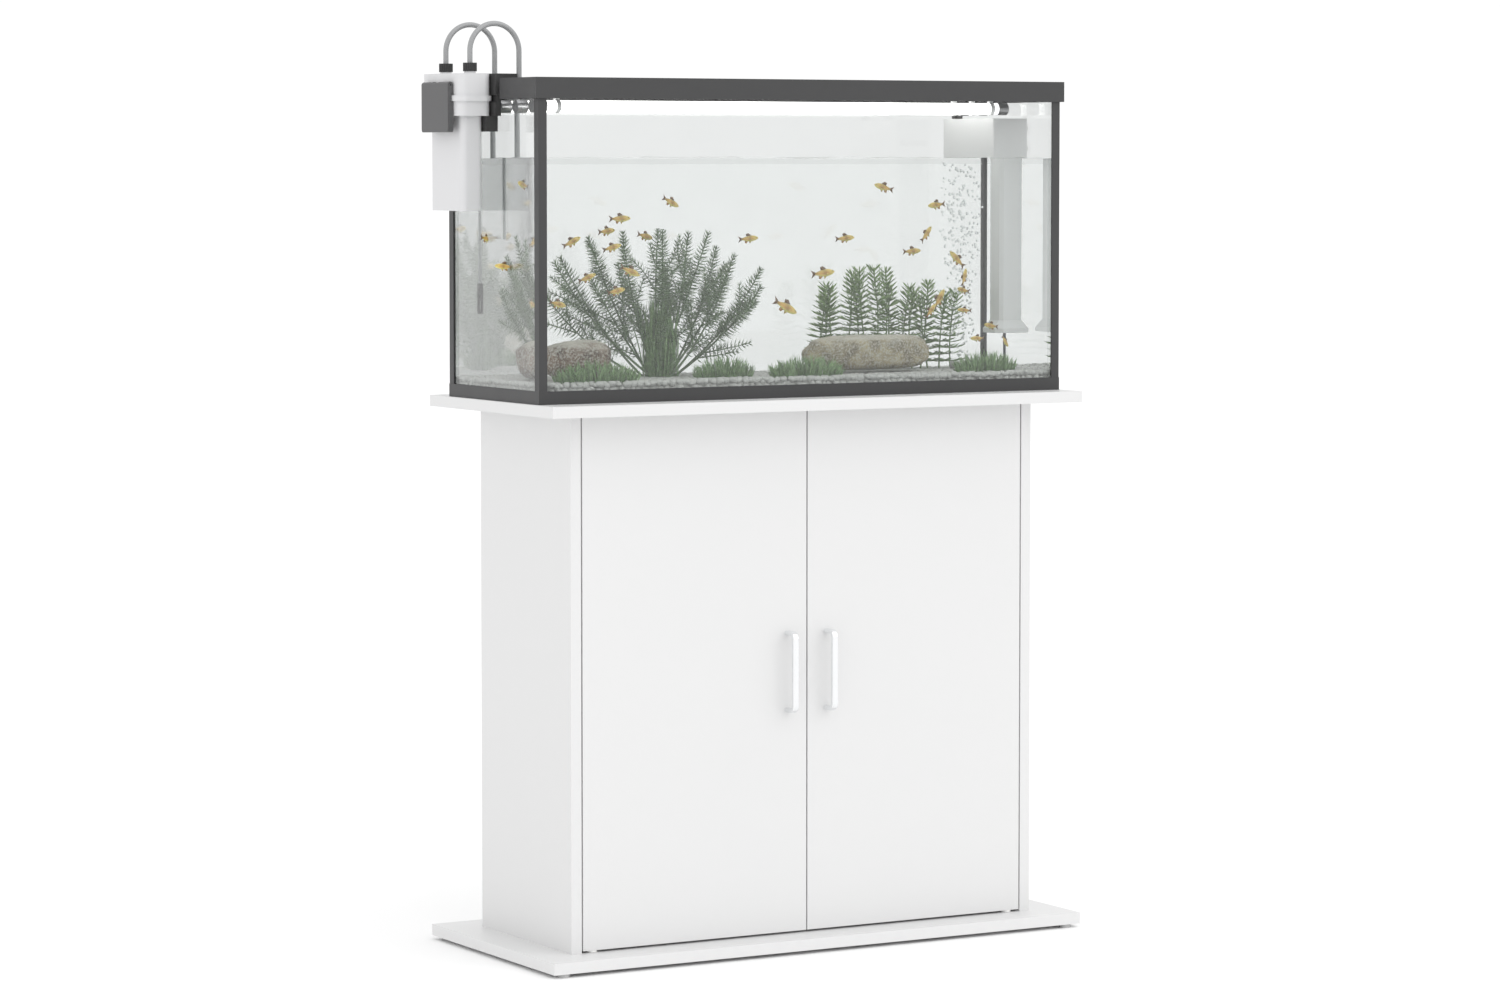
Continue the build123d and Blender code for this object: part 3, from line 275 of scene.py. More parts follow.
def clear(name, tint, ior, roughness=0.0):
    """Glass, clear rubber, water or air, with faint smears.

    Lamplight and soft light pass straight through it, so that what stands behind it is lit.
    """
    if name in bpy.data.materials:
        return bpy.data.materials[name]
    made, tree, shader = new_material(name)
    smears, smear = noise_field(tree, 0.06), 0.012
    colours = mixed_colour(tree, smears.outputs[0], shade(tint, 1 - smear), shade(tint, 1 + smear))
    tree.links.new(colours, shader.inputs["Base Color"])
    shader.inputs["Roughness"].default_value = roughness
    shader.inputs["Transmission Weight"].default_value = 1.0
    shader.inputs["IOR"].default_value = ior
    through = tree.nodes.new("ShaderNodeBsdfTransparent")
    through.inputs["Color"].default_value = (*tint, 1.0)
    path = tree.nodes.new("ShaderNodeLightPath")
    lit = shader.outputs["BSDF"]
    for ray in ("Is Shadow Ray", "Is Diffuse Ray"):
        choose = tree.nodes.new("ShaderNodeMixShader")
        tree.links.new(path.outputs[ray], choose.inputs[0])
        tree.links.new(lit, choose.inputs[1])
        tree.links.new(through.outputs["BSDF"], choose.inputs[2])
        lit = choose.outputs["Shader"]
    tree.links.new(lit, tree.nodes["Material Output"].inputs["Surface"])
    return made


def tinted(name, colour, tip, roughness, cloud=0.004, fleck=0.18):
    """A finish that runs from colour to tip by each point's tint, with flecks."""
    if name in bpy.data.materials:
        return bpy.data.materials[name]
    made, tree, shader = new_material(name)
    tint, dark = point_tint(tree).outputs["Fac"], 1 - 2 * fleck
    base = mixed_colour(tree, tint, colour, tip)
    darker = mixed_colour(tree, tint, shade(colour, dark), shade(tip, dark))
    flecks = noise_field(tree, cloud).outputs[0]
    speckled = mixed_colour(tree, ranged(tree, flecks, 0.0, 1.0, 0.42, 0.62), darker, base)
    gloss = ranged(tree, flecks, roughness * 0.8, min(1.0, roughness * 1.2))
    finish(tree, shader, speckled, gloss, flecks, 0.3, cloud * 0.2)
    return made


def black_plastic(look):
    """The black of the filters' small parts."""
    return moulded("black_plastic", look.black, 0.40, mottle=0.08)


def grass_green(look):
    """The green of the grass and of the bush's young blades."""
    return tinted("grass_green", look.grass, look.grass_tip, 0.6)


def dress(material, *nodes):
    """Gives CAD nodes their finish."""
    for node in nodes:
        for place in frame["nodes"][node].material_slots:
            place.material = material


# ---------------- meshes


class Shape:
    """Points, faces and each point's tint, gathered part by part."""

    def __init__(self):
        self.points, self.faces, self.tints = [], [], []

    def add(self, points, faces, tint=0.0):
        start = len(self.points)
        self.points.extend(points)
        self.faces.extend([tuple(start + i for i in f) for f in faces])
        self.tints.extend(tint if isinstance(tint, list) else [tint] * len(points))
    def hold(self, start, low, high):
        """Brings the points from number start on inside a box."""
        for k in range(start, len(self.points)):
            self.points[k] = kept_in(self.points[k], low, high)

    def piece(self, name, material, slot=None, replaces=(), smooth=True):
        """Makes the piece, hangs it on the root body and hides the CAD parts it replaces."""
        mesh = bpy.data.meshes.new(name)
        mesh.from_pydata([tuple(p) for p in self.points], [], self.faces)
        mesh.validate()
        if smooth:
            mesh.polygons.foreach_set("use_smooth", [True] * len(mesh.polygons))
        if isinstance(self.tints[0], tuple):
            layer = mesh.attributes.new("tint", "FLOAT_COLOR", "POINT")
            colours = np.array([(*t, 1.0) for t in self.tints], np.float32)
            layer.data.foreach_set("color", colours.ravel())
        else:
            layer = mesh.attributes.new("tint", "FLOAT", "POINT")
            layer.data.foreach_set("value", np.array(self.tints, np.float32))
        mesh.materials.append(material)
        made = bpy.data.objects.new(name, mesh)
        bpy.context.scene.collection.objects.link(made)
        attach(made, "root")
        if replaces:
            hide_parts(*replaces)
        return made

def ball(rings, segments):
    """A unit ball's points and faces."""
    points = [Vector((0, 0, -1))]
    for r in range(1, rings):
        tilt = pi * r / rings
        for s in range(segments):
            turn = tau * s / segments
            x, y = sin(tilt) * cos(turn), sin(tilt) * sin(turn)
            points.append(Vector((x, y, -cos(tilt))))
    points.append(Vector((0, 0, 1)))
    top = len(points) - 1
    faces = []
    for s in range(segments):
        n = (s + 1) % segments
        faces.append((0, 1 + n, 1 + s))
        for r in range(rings - 2):
            a, b = 1 + r * segments, 1 + (r + 1) * segments
            faces.append((a + s, a + n, b + n, b + s))
        last = 1 + (rings - 2) * segments
        faces.append((last + s, last + n, top))
    return points, faces


def sheet_faces(columns, rows):
    """The faces of a sheet of so many cells, its points told row by row."""
    row = columns + 1
    return [
        (j * row + i, j * row + i + 1, (j + 1) * row + i + 1, (j + 1) * row + i)
        for j in range(rows) for i in range(columns)
    ]


TINY = 1e-6


def across(direction):
    """Two unit vectors square to direction and to each other."""
    side = direction.cross(Vector((0, 0, 1)))
    if side.length < TINY:
        side = Vector((1, 0, 0))
    side.normalize()
    return side, side.cross(direction).normalized()


def tube(shape, path, thick, taper, sides, tint):
    """Adds a closed tube along a path; its radius thick shrinks by the share taper."""
    points, faces, last = [], [], len(path) - 1
    for i, centre in enumerate(path):
        ahead = path[min(i + 1, last)] - path[max(i - 1, 0)]
        side, up = across(ahead.normalized())
        radius = thick * (1 - taper * i / last)
        for s in range(sides):
            turn = tau * s / sides
            points.append(centre + radius * (cos(turn) * side + sin(turn) * up))
    for i in range(last):
        for s in range(sides):
            a, b, n = i * sides, (i + 1) * sides, (s + 1) % sides
            faces.append((a + s, a + n, b + n, b + s))
    faces.append(tuple(range(sides - 1, -1, -1)))
    faces.append(tuple(range(len(points) - sides, len(points))))
    shape.add(points, faces, tint)


LEAF_ROLL = 2.4  # radians that each leaf is rolled on from the face count


def blade(shape, root, direction, bend, length, width, tints, steps=2):
    """Adds a narrow leaf that starts along direction, bends towards bend and lies anyhow."""
    side = direction.cross(bend)
    if side.length < TINY:
        side = across(direction)[0]
    side.normalize()
    side = Matrix.Rotation(LEAF_ROLL * len(shape.faces), 3, direction) @ side
    points, centre, heading = [], root.copy(), direction.normalized()
    for i in range(steps):
        half = 0.5 * width * (1.0 if i else 0.7)
        points += [centre - half * side, centre + half * side]
        centre = centre + heading * (length / steps)
        heading = (heading + bend * (1.0 / steps)).normalized()
    points.append(centre)
    faces = [(2 * i, 2 * i + 1, 2 * i + 3, 2 * i + 2) for i in range(steps - 1)]
    faces.append((2 * steps - 2, 2 * steps - 1, 2 * steps))
    foot, tip = tints
    ramp = [foot + (tip - foot) * (i // 2) / steps for i in range(2 * steps)]
    shape.add(points, faces, ramp + [tip])


def curve_points(start, lean, end, count):
    """Points along a bow from start by way of lean to end."""
    shares = (i / (count - 1) for i in range(count))
    return [(1 - t) ** 2 * start + 2 * t * (1 - t) * lean + t * t * end for t in shares]


def along_path(path, share):
    """The point at a share of a path, and the way the path runs there."""
    place = share * (len(path) - 1)
    i = min(int(place), len(path) - 2)
    return path[i].lerp(path[i + 1], place - i), (path[i + 1] - path[i]).normalized()

def solid_boxes(node):
    """The box of each separate solid of a CAD node, from left to right."""
    merged = bmesh.new()
    merged.from_mesh(frame["nodes"][node].data)
    bmesh.ops.remove_doubles(merged, verts=merged.verts, dist=TINY)
    left, boxes = set(merged.verts), []
    while left:
        queue = [left.pop()]
        group = list(queue)
        while queue:
            for edge in queue.pop().link_edges:
                for vert in edge.verts:
                    if vert in left:
                        left.remove(vert)
                        queue.append(vert)
                        group.append(vert)
        low = Vector([min(v.co[i] for v in group) for i in range(3)])
        high = Vector([max(v.co[i] for v in group) for i in range(3)])
        boxes.append((low, high))
    merged.free()
    return sorted(boxes, key=lambda b: b[0].x)


def kept_in(point, low, high, margin=0.0):
    """point, brought inside a box."""
    return Vector([min(max(point[i], low[i] + margin), high[i] - margin) for i in range(3)])


# ---------------- stand


class AQUARIUM_OT_cabinet(bpy.types.Operator):
    """Finishes the boards, the doors and the back sheet"""

    bl_idname = "aquarium.cabinet"
    bl_label = "Cabinet"

    def execute(self, context):
        look = context.scene.aquarium_stand
        board = moulded("white_melamine", look.board, 0.38, mottle=0.008, cloud=0.4,
                        grain=look.peel_size, depth=0.06)
        dress(board, "bottom_board", "top_board", "left_side_panel", "right_side_panel",
              "centre_divider", "shelves", "left_door", "right_door")
        back = moulded("back_sheet", look.back_sheet, 0.6, mottle=0.03, grain=0.0025, depth=0.2)
        dress(back, "back_panel")
        dress(moulded("glide_plastic", look.glide, 0.5), "glide_feet")
        return {"FINISHED"}


class AQUARIUM_OT_hardware(bpy.types.Operator):
    """Finishes the handles, screws, pins, bushes and magnets"""

    bl_idname = "aquarium.hardware"
    bl_label = "Hardware"

    def execute(self, context):
        look = context.scene.aquarium_stand
        brushed = moulded("brushed_aluminium", look.handle, 0.24, mottle=0.03, grain=0.0007,
                          depth=0.25, metallic=1.0, stretch=(1.0, 1.0, 0.06))
        dress(brushed, "left_handle", "right_handle")
        steel = moulded("plated_steel", STEEL, 0.30, mottle=0.08, metallic=1.0)
        dress(steel, "left_handle_screws", "right_handle_screws", "hinge_pins", "flap_pins",
              "latch_pin", "shelf_pins")
        zinc = moulded("zinc", ZINC, 0.42, mottle=0.12, cloud=0.006, metallic=1.0)
        dress(zinc, "cam_fittings")
        nylon = moulded("nylon", NYLON, 0.45)
        dress(nylon, "left_hinge_bushes", "right_hinge_bushes", "door_magnets")
        return {"FINISHED"}


# ---------------- tank


def inside_tank():
    """Low and high corner of the room between the panes, down to the bottom pane."""
    left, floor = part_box("left_glass"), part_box("bottom_glass")
    low = Vector((left[1].x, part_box("front_glass")[1].y, floor[1].z))
    high = Vector((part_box("right_glass")[0].x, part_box("back_glass")[0].y, left[1].z))
    return low, high


class AQUARIUM_OT_glass(bpy.types.Operator):
    """Finishes the panes and runs the silicone seams"""

    bl_idname = "aquarium.glass"
    bl_label = "Glass"

    def execute(self, context):
        look = context.scene.aquarium_tank
        pane = clear("float_glass", look.glass_tint, GLASS_IOR)
        dress(pane, "front_glass", "back_glass", "left_glass", "right_glass", "bottom_glass")
        self.seams(look.seam)
        return {"FINISHED"}

    def seams(self, seam):
        """Concave beads along the inner corners."""
        low, high = inside_tank()
        shape, steps = Shape(), 5
        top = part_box("corner_trims")[1].z

        def bead(corner, one, two, run):
            """A bead from corner along run, its legs along one and two."""
            points = []
            for end in (Vector((0, 0, 0)), run):
                points.append(corner + end)
                for i in range(steps + 1):
                    turn = pi / 2 * i / steps
                    hollow = (1 - sin(turn)) * one + (1 - cos(turn)) * two
                    points.append(corner + end + seam * hollow)
            count = steps + 2
            faces = []
            for i in range(count):
                n = (i + 1) % count
                faces.append((i, n, count + n, count + i))
            faces += [tuple(range(count - 1, -1, -1)), tuple(range(count, 2 * count))]
            shape.add(points, faces)

        x_axis, y_axis, z_axis = Vector((1, 0, 0)), Vector((0, 1, 0)), Vector((0, 0, 1))
        ends = ((low.x, x_axis), (high.x, -x_axis))
        long_sides = ((low.y, y_axis), (high.y, -y_axis))
        for x, into_x in ends:
            for y, into_y in long_sides:
                bead(Vector((x, y, low.z)), into_x, into_y, Vector((0, 0, top - low.z)))
        for y, into_y in long_sides:
            bead(Vector((low.x, y, low.z)), into_y, z_axis, Vector((high.x - low.x, 0, 0)))
        for x, into_x in ends:
            bead(Vector((x, low.y, low.z)), into_x, z_axis, Vector((0, high.y - low.y, 0)))
        silicone = clear("silicone", SILICONE, SILICONE_IOR, 0.25)
        shape.piece("silicone_seams", silicone, "seal_rubber")


class AQUARIUM_OT_frame(bpy.types.Operator):
    """Finishes the base frame, the corner trims, the hood and its flap"""

    bl_idname = "aquarium.frame"
    bl_label = "Frame and hood"

    def execute(self, context):
        look = context.scene.aquarium_tank
        black = moulded("black_frame", look.frame, 0.42, mottle=0.07, cloud=0.02, grain=0.0009,
                        depth=0.35)
        dress(black, "base_frame", "corner_trims", "hood", "hood_skirt", "feeding_flap")
        return {"FINISHED"}


class AQUARIUM_OT_lamp(bpy.types.Operator):
    """Lights the tubes and finishes their caps and clips"""

    bl_idname = "aquarium.lamp"
    bl_label = "Lamp"

    def execute(self, context):
        look = context.scene.aquarium_lamp
        made, tree, shader = new_material("lit_tube")
        frosting = noise_field(tree, 0.02)
        tree.links.new(ranged(tree, frosting.outputs[0], 0.25, 0.4), shader.inputs["Roughness"])
        shader.inputs["Base Color"].default_value = (*look.light, 1.0)
        shader.inputs["Emission Color"].default_value = (*look.light, 1.0)
        shader.inputs["Emission Strength"].default_value = look.strength
        dress(made, "lamp_tubes")
        dress(moulded("cap_metal", look.cap, 0.28, metallic=0.9, grain=0.0006), "lamp_end_caps")
        dress(moulded("clip_plastic", LAMP_CLIP, 0.40), "lamp_clips")
        return {"FINISHED"}


# ---------------- filters


class AQUARIUM_OT_outer_filter(bpy.types.Operator):
    """Finishes the hang-on filter, its latch, pipes and pump"""

    bl_idname = "aquarium.outer_filter"
    bl_label = "Hang-on filter"

    def execute(self, context):
        look = context.scene.aquarium_filter
        white = moulded("white_housing", look.housing, 0.36, mottle=0.012, grain=0.0011, depth=0.12)
        dress(white, "filter_head", "filter_canister")
        dress(moulded("latch_plastic", look.latch, 0.40, mottle=0.05), "filter_latch")
        dress(black_plastic(look), "gland_nuts", "intake_strainer", "rim_bracket")
        pipe = moulded("smoked_pipe", look.pipe, 0.16, mottle=0.03, specular=0.8, depth=0.05)
        dress(pipe, "outlet_pipe", "intake_pipe")
        dress(moulded("seal_rubber", SEAL_RUBBER, 0.75), "canister_seal")
        foam = moulded("open_foam", FOAM, 0.95, mottle=0.3, cloud=0.003, grain=0.0025, depth=1.0)
        dress(foam, "filter_sponge")
        dress(moulded("motor_resin", MOTOR_RESIN, 0.5), "pump_stators")
        dress(moulded("rotor_plastic", ROTOR, 0.4), "pump_impeller", "inner_impeller")
        dress(moulded("shaft_ceramic", CERAMIC, 0.2), "impeller_shafts")
        return {"FINISHED"}


class AQUARIUM_OT_inner_filter(bpy.types.Operator):
    """Finishes the inner filter, its knob, cups, air line and air stone"""

    bl_idname = "aquarium.inner_filter"
    bl_label = "Inner filter"

    def execute(self, context):
        look = context.scene.aquarium_filter
        pale = moulded("inner_housing", look.inner, 0.34, mottle=0.015, depth=0.12)
        dress(pale, "inner_filter_box", "inner_filter_column")
        dress(black_plastic(look), "inner_filter_knob")
        dress(clear("cup_rubber", CUP_RUBBER, CUP_IOR, 0.15), "suction_cups")
        dress(moulded("air_hose", AIR_HOSE, 0.30, mottle=0.05), "air_riser")
        stone = moulded("air_stone", AIR_STONE, 0.9, mottle=0.35, cloud=0.0012, grain=0.0009,
                        depth=1.0)
        dress(stone, "air_stone")
        return {"FINISHED"}


# ---------------- planting
# Told in pebbles: from the bed's edge to a pebble's middle, and from one pebble to the next.
PEBBLE_EDGE, PEBBLE_PITCH = 0.45, 0.84
PALE_SHARE = 0.70


class AQUARIUM_OT_gravel(bpy.types.Operator):
    """Lays the gravel, pebble by pebble"""

    bl_idname = "aquarium.gravel"
    bl_label = "Gravel"

    def execute(self, context):
        look = context.scene.aquarium_planting
        rng = random.Random(11)
        low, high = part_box("gravel_bed")
        size, shape = look.pebble_size, Shape()
        points, faces = ball(4, 7)

        def along(axis, step, steps):
            """A pebble's place along x or y, so many steps from the low edge."""
            room = high[axis] - low[axis] - 2 * PEBBLE_EDGE * size
            return low[axis] + PEBBLE_EDGE * size + room * step / steps

        def jog(x, y, down, up):
            """A small random step."""
            steps = (rng.uniform(-x, x), rng.uniform(-y, y), rng.uniform(-down, up))
            return Vector(steps) * size

        def pebble(centre, scale):
            flat = (rng.uniform(0.75, 1.25), rng.uniform(0.75, 1.25), rng.uniform(0.50, 0.85))
            squash = Vector(flat)
            turn = Matrix.Rotation(rng.uniform(0, tau), 3, "Z")
            turn = turn @ Matrix.Rotation(rng.uniform(-0.5, 0.5), 3, "X")
            placed = []
            for p in points:
                r = 0.5 * size * scale * rng.uniform(0.82, 1.12)
                place = centre + turn @ Vector([p[i] * squash[i] * r for i in range(3)])
                placed.append(kept_in(place, low, high))
            pale = rng.random() < PALE_SHARE
            shape.add(placed, faces, rng.uniform(0.80, 1.0) if pale else rng.uniform(0.0, 0.4))

        pitch, top = size * PEBBLE_PITCH, high.z - 0.30 * size
        rows, columns = int((high.y - low.y) / pitch), int((high.x - low.x) / pitch)
        for row in range(rows + 1):
            for column in range(columns + 1):
                x = along(0, column + 0.5 * (row % 2), columns + 0.5)
                middle = Vector((x, along(1, row, rows), top)) + jog(0.2, 0.2, 0.22, 0.1)
                pebble(middle, rng.uniform(0.85, 1.2))
        for z in (low.z + 0.36 * size, low.z + size):
            for column in range(columns + 1):
                for y in (along(1, 0, rows), high.y - PEBBLE_EDGE * size):
                    middle = Vector((along(0, column, columns), y, z)) + jog(0.2, 0.05, 0.1, 0.1)
                    pebble(middle, rng.uniform(0.85, 1.15))
            for row in range(1, rows):
                for x in (along(0, 0, columns), high.x - PEBBLE_EDGE * size):
                    pebble(Vector((x, along(1, row, rows), z)), rng.uniform(0.85, 1.15))
        self.bed(shape, low, high, size)
        stones = tinted("pebbles", look.pebble_dark, look.pebble_pale, 0.62, 0.0035, 0.06)
        shape.piece("pebble_gravel", stones, "pebbles", replaces=["gravel_bed"])
        return {"FINISHED"}

    def bed(self, shape, low, high, size):
        """The dark bed that closes the gaps between the pebbles."""
        a = low + Vector((1, 1, 0)) * PEBBLE_EDGE * size
        b = high - Vector((PEBBLE_EDGE, PEBBLE_EDGE, 0.55)) * size
        outline = ((a.x, a.y), (b.x, a.y), (b.x, b.y), (a.x, b.y))
        corners = [Vector((x, y, z)) for z in (a.z, b.z) for x, y in outline]
        sides = [(0, 3, 2, 1), (4, 5, 6, 7), (0, 1, 5, 4), (1, 2, 6, 5), (2, 3, 7, 6), (3, 0, 4, 7)]
        shape.add(corners, sides, 0.7)


class AQUARIUM_OT_rocks(bpy.types.Operator):
    """Shapes the two rocks"""

    bl_idname = "aquarium.rocks"
    bl_label = "Rocks"

    def execute(self, context):
        look = context.scene.aquarium_planting
        boxes = solid_boxes("rocks")
        names = (("brown_rock", look.rock_brown, 3.0), ("sand_rock", look.rock_sand, 9.0))
        for (low, high), (name, colour, seed) in zip(boxes, names):
            shape = self.boulder(low, high, seed)
            replaces = ["rocks"] if name == "brown_rock" else []
            shape.piece(name, self.stone(name, colour, look), "rock", replaces=replaces)
        return {"FINISHED"}

    def boulder(self, low, high, seed):
        """A worn rock that fills its box: lumps, pits, a flat foot, and a tint that paints
        lamplight on its upper part.
        """
        centre, half = (low + high) / 2, (high - low) / 2
        points, faces = ball(34, 56)
        round_off = 0.70
        placed, tints = [], []
        for p in points:
            q = Vector([copysign(abs(c) ** round_off, c) for c in p])
            lumps = noise.noise(p * 1.6 + Vector((seed, 0, 0))) * 0.09
            pits = noise.fractal(p * 5.0 + Vector((0, seed, 0)), 0.9, 2.1, 4) * 0.030
            q *= 0.95 + lumps + pits
            q.z *= 1.0 - 0.06 * sin(2.2 * p.x + seed)
            place = kept_in(Vector([centre[i] + q[i] * half[i] for i in range(3)]), low, high)
            placed.append(place)
            # Painted light: the tint grows towards the top of the rock, where the lamp falls,
            # broken up by noise
            rise = (place.z - low.z) / (high.z - low.z)
            rough = noise.fractal(p * 3.0 + Vector((seed, seed, 0)), 0.9, 2.0, 4)
            tints.append(min(1.0, max(0.0, (rise - 0.70) * 3.2 + rough * 0.45)))
        shape = Shape()
        shape.add(placed, faces, tints)
        return shape

    def stone(self, name, colour, look):
        """Veined stone with pale specks, and painted light: a pale tint on top where the lamp
        falls.
        """
        made, tree, shader = new_material(f"{name}_stone")
        veins = noise_field(tree, 0.018, 6.0)
        specks = noise_field(tree, 0.0028, 4.0).outputs[0]
        patches = ranged(tree, veins.outputs[0], 0.0, 1.0, 0.34, 0.66)
        body = mixed_colour(tree, patches, shade(colour, 0.50), shade(colour, 1.45))
        speckled = mixed_colour(tree, ranged(tree, specks, 0.0, 0.85, 0.44, 0.64), body,
                                shade(look.rock_specks_and_lit_tops, 0.95))
        # Painted light: the point tint turns the upper faces pale where the lamp falls
        lit_topped = mixed_colour(tree, point_tint(tree).outputs["Fac"], speckled, look.rock_specks_and_lit_tops)
        finish(tree, shader, lit_topped, ranged(tree, specks, 0.65, 0.9), specks, 0.6, 0.0012)
        return made


def needled(shape, path, start, spacing, length, width, count, rng):
    """Adds whorls of needles along a path, from share start to its tip."""
    total = sum((path[i + 1] - path[i]).length for i in range(len(path) - 1))
    steps = max(2, int(total * (1 - start) / spacing))
    spin = rng.uniform(0, tau)
    for k in range(steps + 1):
        t = start + (1 - start) * k / steps
        point, ahead = along_path(path, t)
        side, up = across(ahead)
        near_tip = min(1.0, (1 - t) * total / (2.2 * length))
        reach = length * (0.55 + 0.45 * near_tip)
        forward = 0.12 + 0.9 * (1 - near_tip)
        bend = (ahead * 0.5 + Vector((0, 0, 0.10))).normalized() * 0.45
        spin += 0.7
        for c in range(count):
            turn = spin + tau * c / count + rng.uniform(-0.25, 0.25)
            out = cos(turn) * side + sin(turn) * up
            heading = (out + forward * ahead).normalized()
            tone = 0.6 * rng.random()
            long = reach * rng.uniform(0.8, 1.15)
            blade(shape, point, heading, bend, long, width, (tone * 0.5, tone))

BUSH_MARGIN = 0.012
class AQUARIUM_OT_bush(bpy.types.Operator):
    """Grows the feathery bush"""

    bl_idname = "aquarium.bush"
    bl_label = "Bush"

    def execute(self, context):
        look = context.scene.aquarium_planting
        rng = random.Random(23)
        low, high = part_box("plant_bush")
        middle = Vector(((low.x + high.x) / 2, (low.y + high.y) / 2, low.z))
        wide, deep, tall = (high.x - low.x) / 2, (high.y - low.y) / 2, high.z - low.z
        shape, boughs = Shape(), 17
        for n in range(boughs):
            fan = -1 + 2 * (n + 0.5) / boughs + rng.uniform(-0.04, 0.04)
            height = tall * (1.04 - 0.34 * abs(fan) ** 1.6) * (1.0 if n % 3 else 0.76)
            height *= rng.uniform(0.94, 1.0)
            depth = deep * rng.uniform(-0.85, 0.85) * (1 - 0.35 * abs(fan))
            end = middle + Vector((fan * wide, depth, height))
            end = kept_in(end, low, high + Vector((0, 0, 0.010)), BUSH_MARGIN)
            x, y = fan * 0.020 + rng.uniform(-0.008, 0.008), rng.uniform(-0.012, 0.012)
            root = middle + Vector((x, y, -0.002))
            bow = 0.16 * fan * wide + rng.uniform(-0.012, 0.012)
            lean = root.lerp(end, 0.45) + Vector((bow, 0, -0.05 * tall * abs(fan)))
            path = curve_points(root, lean, end, 16)
            tube(shape, path, 0.0019, 0.65, 5, 0.05)
            needled(shape, path, 0.56, 0.0040, 0.0160, 0.0012, 9, rng)
            needled(shape, path, 0.26, 0.0100, 0.0125, 0.0011, 7, rng)
            self.twigs(shape, path, low, high, rng)
        shape.hold(0, low - Vector((0, 0, 0.003)), high)
        green = tinted("bush_green", look.bush, look.bush_tip, 0.6)
        shape.piece("feathery_bush", green, "leaf_green", replaces=["plant_bush"], smooth=False)
        self.heart(middle, tall, look, rng)
        return {"FINISHED"}

    def twigs(self, shape, path, low, high, rng):
        """The side shoots of one bough."""
        last = len(path) - 1
        for k in range(5):
            t = 0.30 + 0.11 * k + rng.uniform(-0.03, 0.03)
            at = path[int(t * last)]
            ahead = (path[min(last, int(t * last) + 1)] - at).normalized()
            side, up = across(ahead)
            turn = rng.uniform(0, tau)
            out = ahead * 0.9 + side * cos(turn) + up * sin(turn) * 0.7
            out = (out + Vector((0, 0, 0.15))).normalized()
            tip = kept_in(at + out * rng.uniform(0.034, 0.066), low, high, BUSH_MARGIN)
            twig = curve_points(at, at.lerp(tip, 0.5) + out.cross(up) * 0.008, tip, 7)
            tube(shape, twig, 0.0010, 0.5, 4, 0.1)
            needled(shape, twig, 0.22, 0.0050, 0.0135, 0.0011, 8, rng)

    def heart(self, middle, tall, look, rng):
        """The young blades at the foot of the bush."""
        shape = Shape()
        for _ in range(230):
            root = middle + Vector((rng.gauss(0, 0.010), rng.gauss(0, 0.008), 0.0))
            lean = Vector((rng.gauss(0, 0.10), rng.gauss(0, 0.10), 1.0)).normalized()
            bend = Vector((rng.gauss(0, 0.25), rng.gauss(0, 0.25), 0.3))
            long, tone = tall * rng.uniform(0.24, 0.60), rng.uniform(0.3, 0.9)
            blade(shape, root, lean, bend, long, 0.0022, (0.0, tone), 4)
        shape.piece("bush_heart", grass_green(look), "leaf_green", smooth=False)

LEAF_REACH = 0.027  # longest leaf of the stem plants
class AQUARIUM_OT_stems(bpy.types.Operator):
    """Grows the upright stem plants"""

    bl_idname = "aquarium.stems"
    bl_label = "Stem plants"

    def execute(self, context):
        look = context.scene.aquarium_planting
        rng = random.Random(5)
        low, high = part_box("plant_stems")
        shape, count = Shape(), 15
        for n in range(count):
            share = (n + 0.5) / count
            x = low.x + 0.7 * LEAF_REACH + (high.x - low.x - 1.4 * LEAF_REACH) * share
            x += rng.uniform(-0.005, 0.005)
            y = rng.uniform(low.y + 0.6 * LEAF_REACH, high.y - 0.6 * LEAF_REACH)
            peak = 1.0 - 0.24 * abs(share - 0.42) / 0.58
            height = (high.z - low.z - 0.004) * peak * rng.uniform(0.80, 1.0)
            root = Vector((x, y, low.z - 0.003))
            top = root + Vector((rng.gauss(0, 0.010), rng.gauss(0, 0.006), height))
            top = kept_in(top, low, high, 0.004)
            lean = root.lerp(top, 0.5) + Vector((rng.gauss(0, 0.008), 0, 0))
            path = curve_points(root, lean, top, 12)
            tube(shape, path, 0.0013, 0.4, 5, 0.45)
            self.leaves(shape, path, low, high, rng)
        green = tinted("stem_green", look.stem, look.stem_tip, 0.55)
        shape.piece("stem_plants", green, "leaf_green", replaces=["plant_stems"], smooth=False)
        return {"FINISHED"}

    def leaves(self, shape, path, low, high, rng):
        """Rings of bowed leaves, long and drooping below, short and close at the top."""
        total = path[-1].z - path[0].z
        z, spin, ring = 0.012, rng.uniform(0, tau), 8
        while z < total:
            share = z / total
            point = along_path(path, share)[0]
            length = LEAF_REACH * (1.0 - 0.45 * share**2) * rng.uniform(0.9, 1.05)
            spin += 0.9
            for c in range(ring):
                turn = spin + tau * c / ring
                out = Vector((cos(turn), sin(turn), 0.05 + 0.75 * share**3)).normalized()
                tone = 0.15 + 0.75 * share * rng.uniform(0.6, 1.0)
                before = len(shape.points)
                bend = Vector((0, 0, 0.34))
                blade(shape, point, out, bend, length, 0.0021, (tone * 0.6, tone), 4)
                shape.hold(before, low, high)
            z += 0.0098 * (1.0 - 0.50 * share) * rng.uniform(0.9, 1.1)


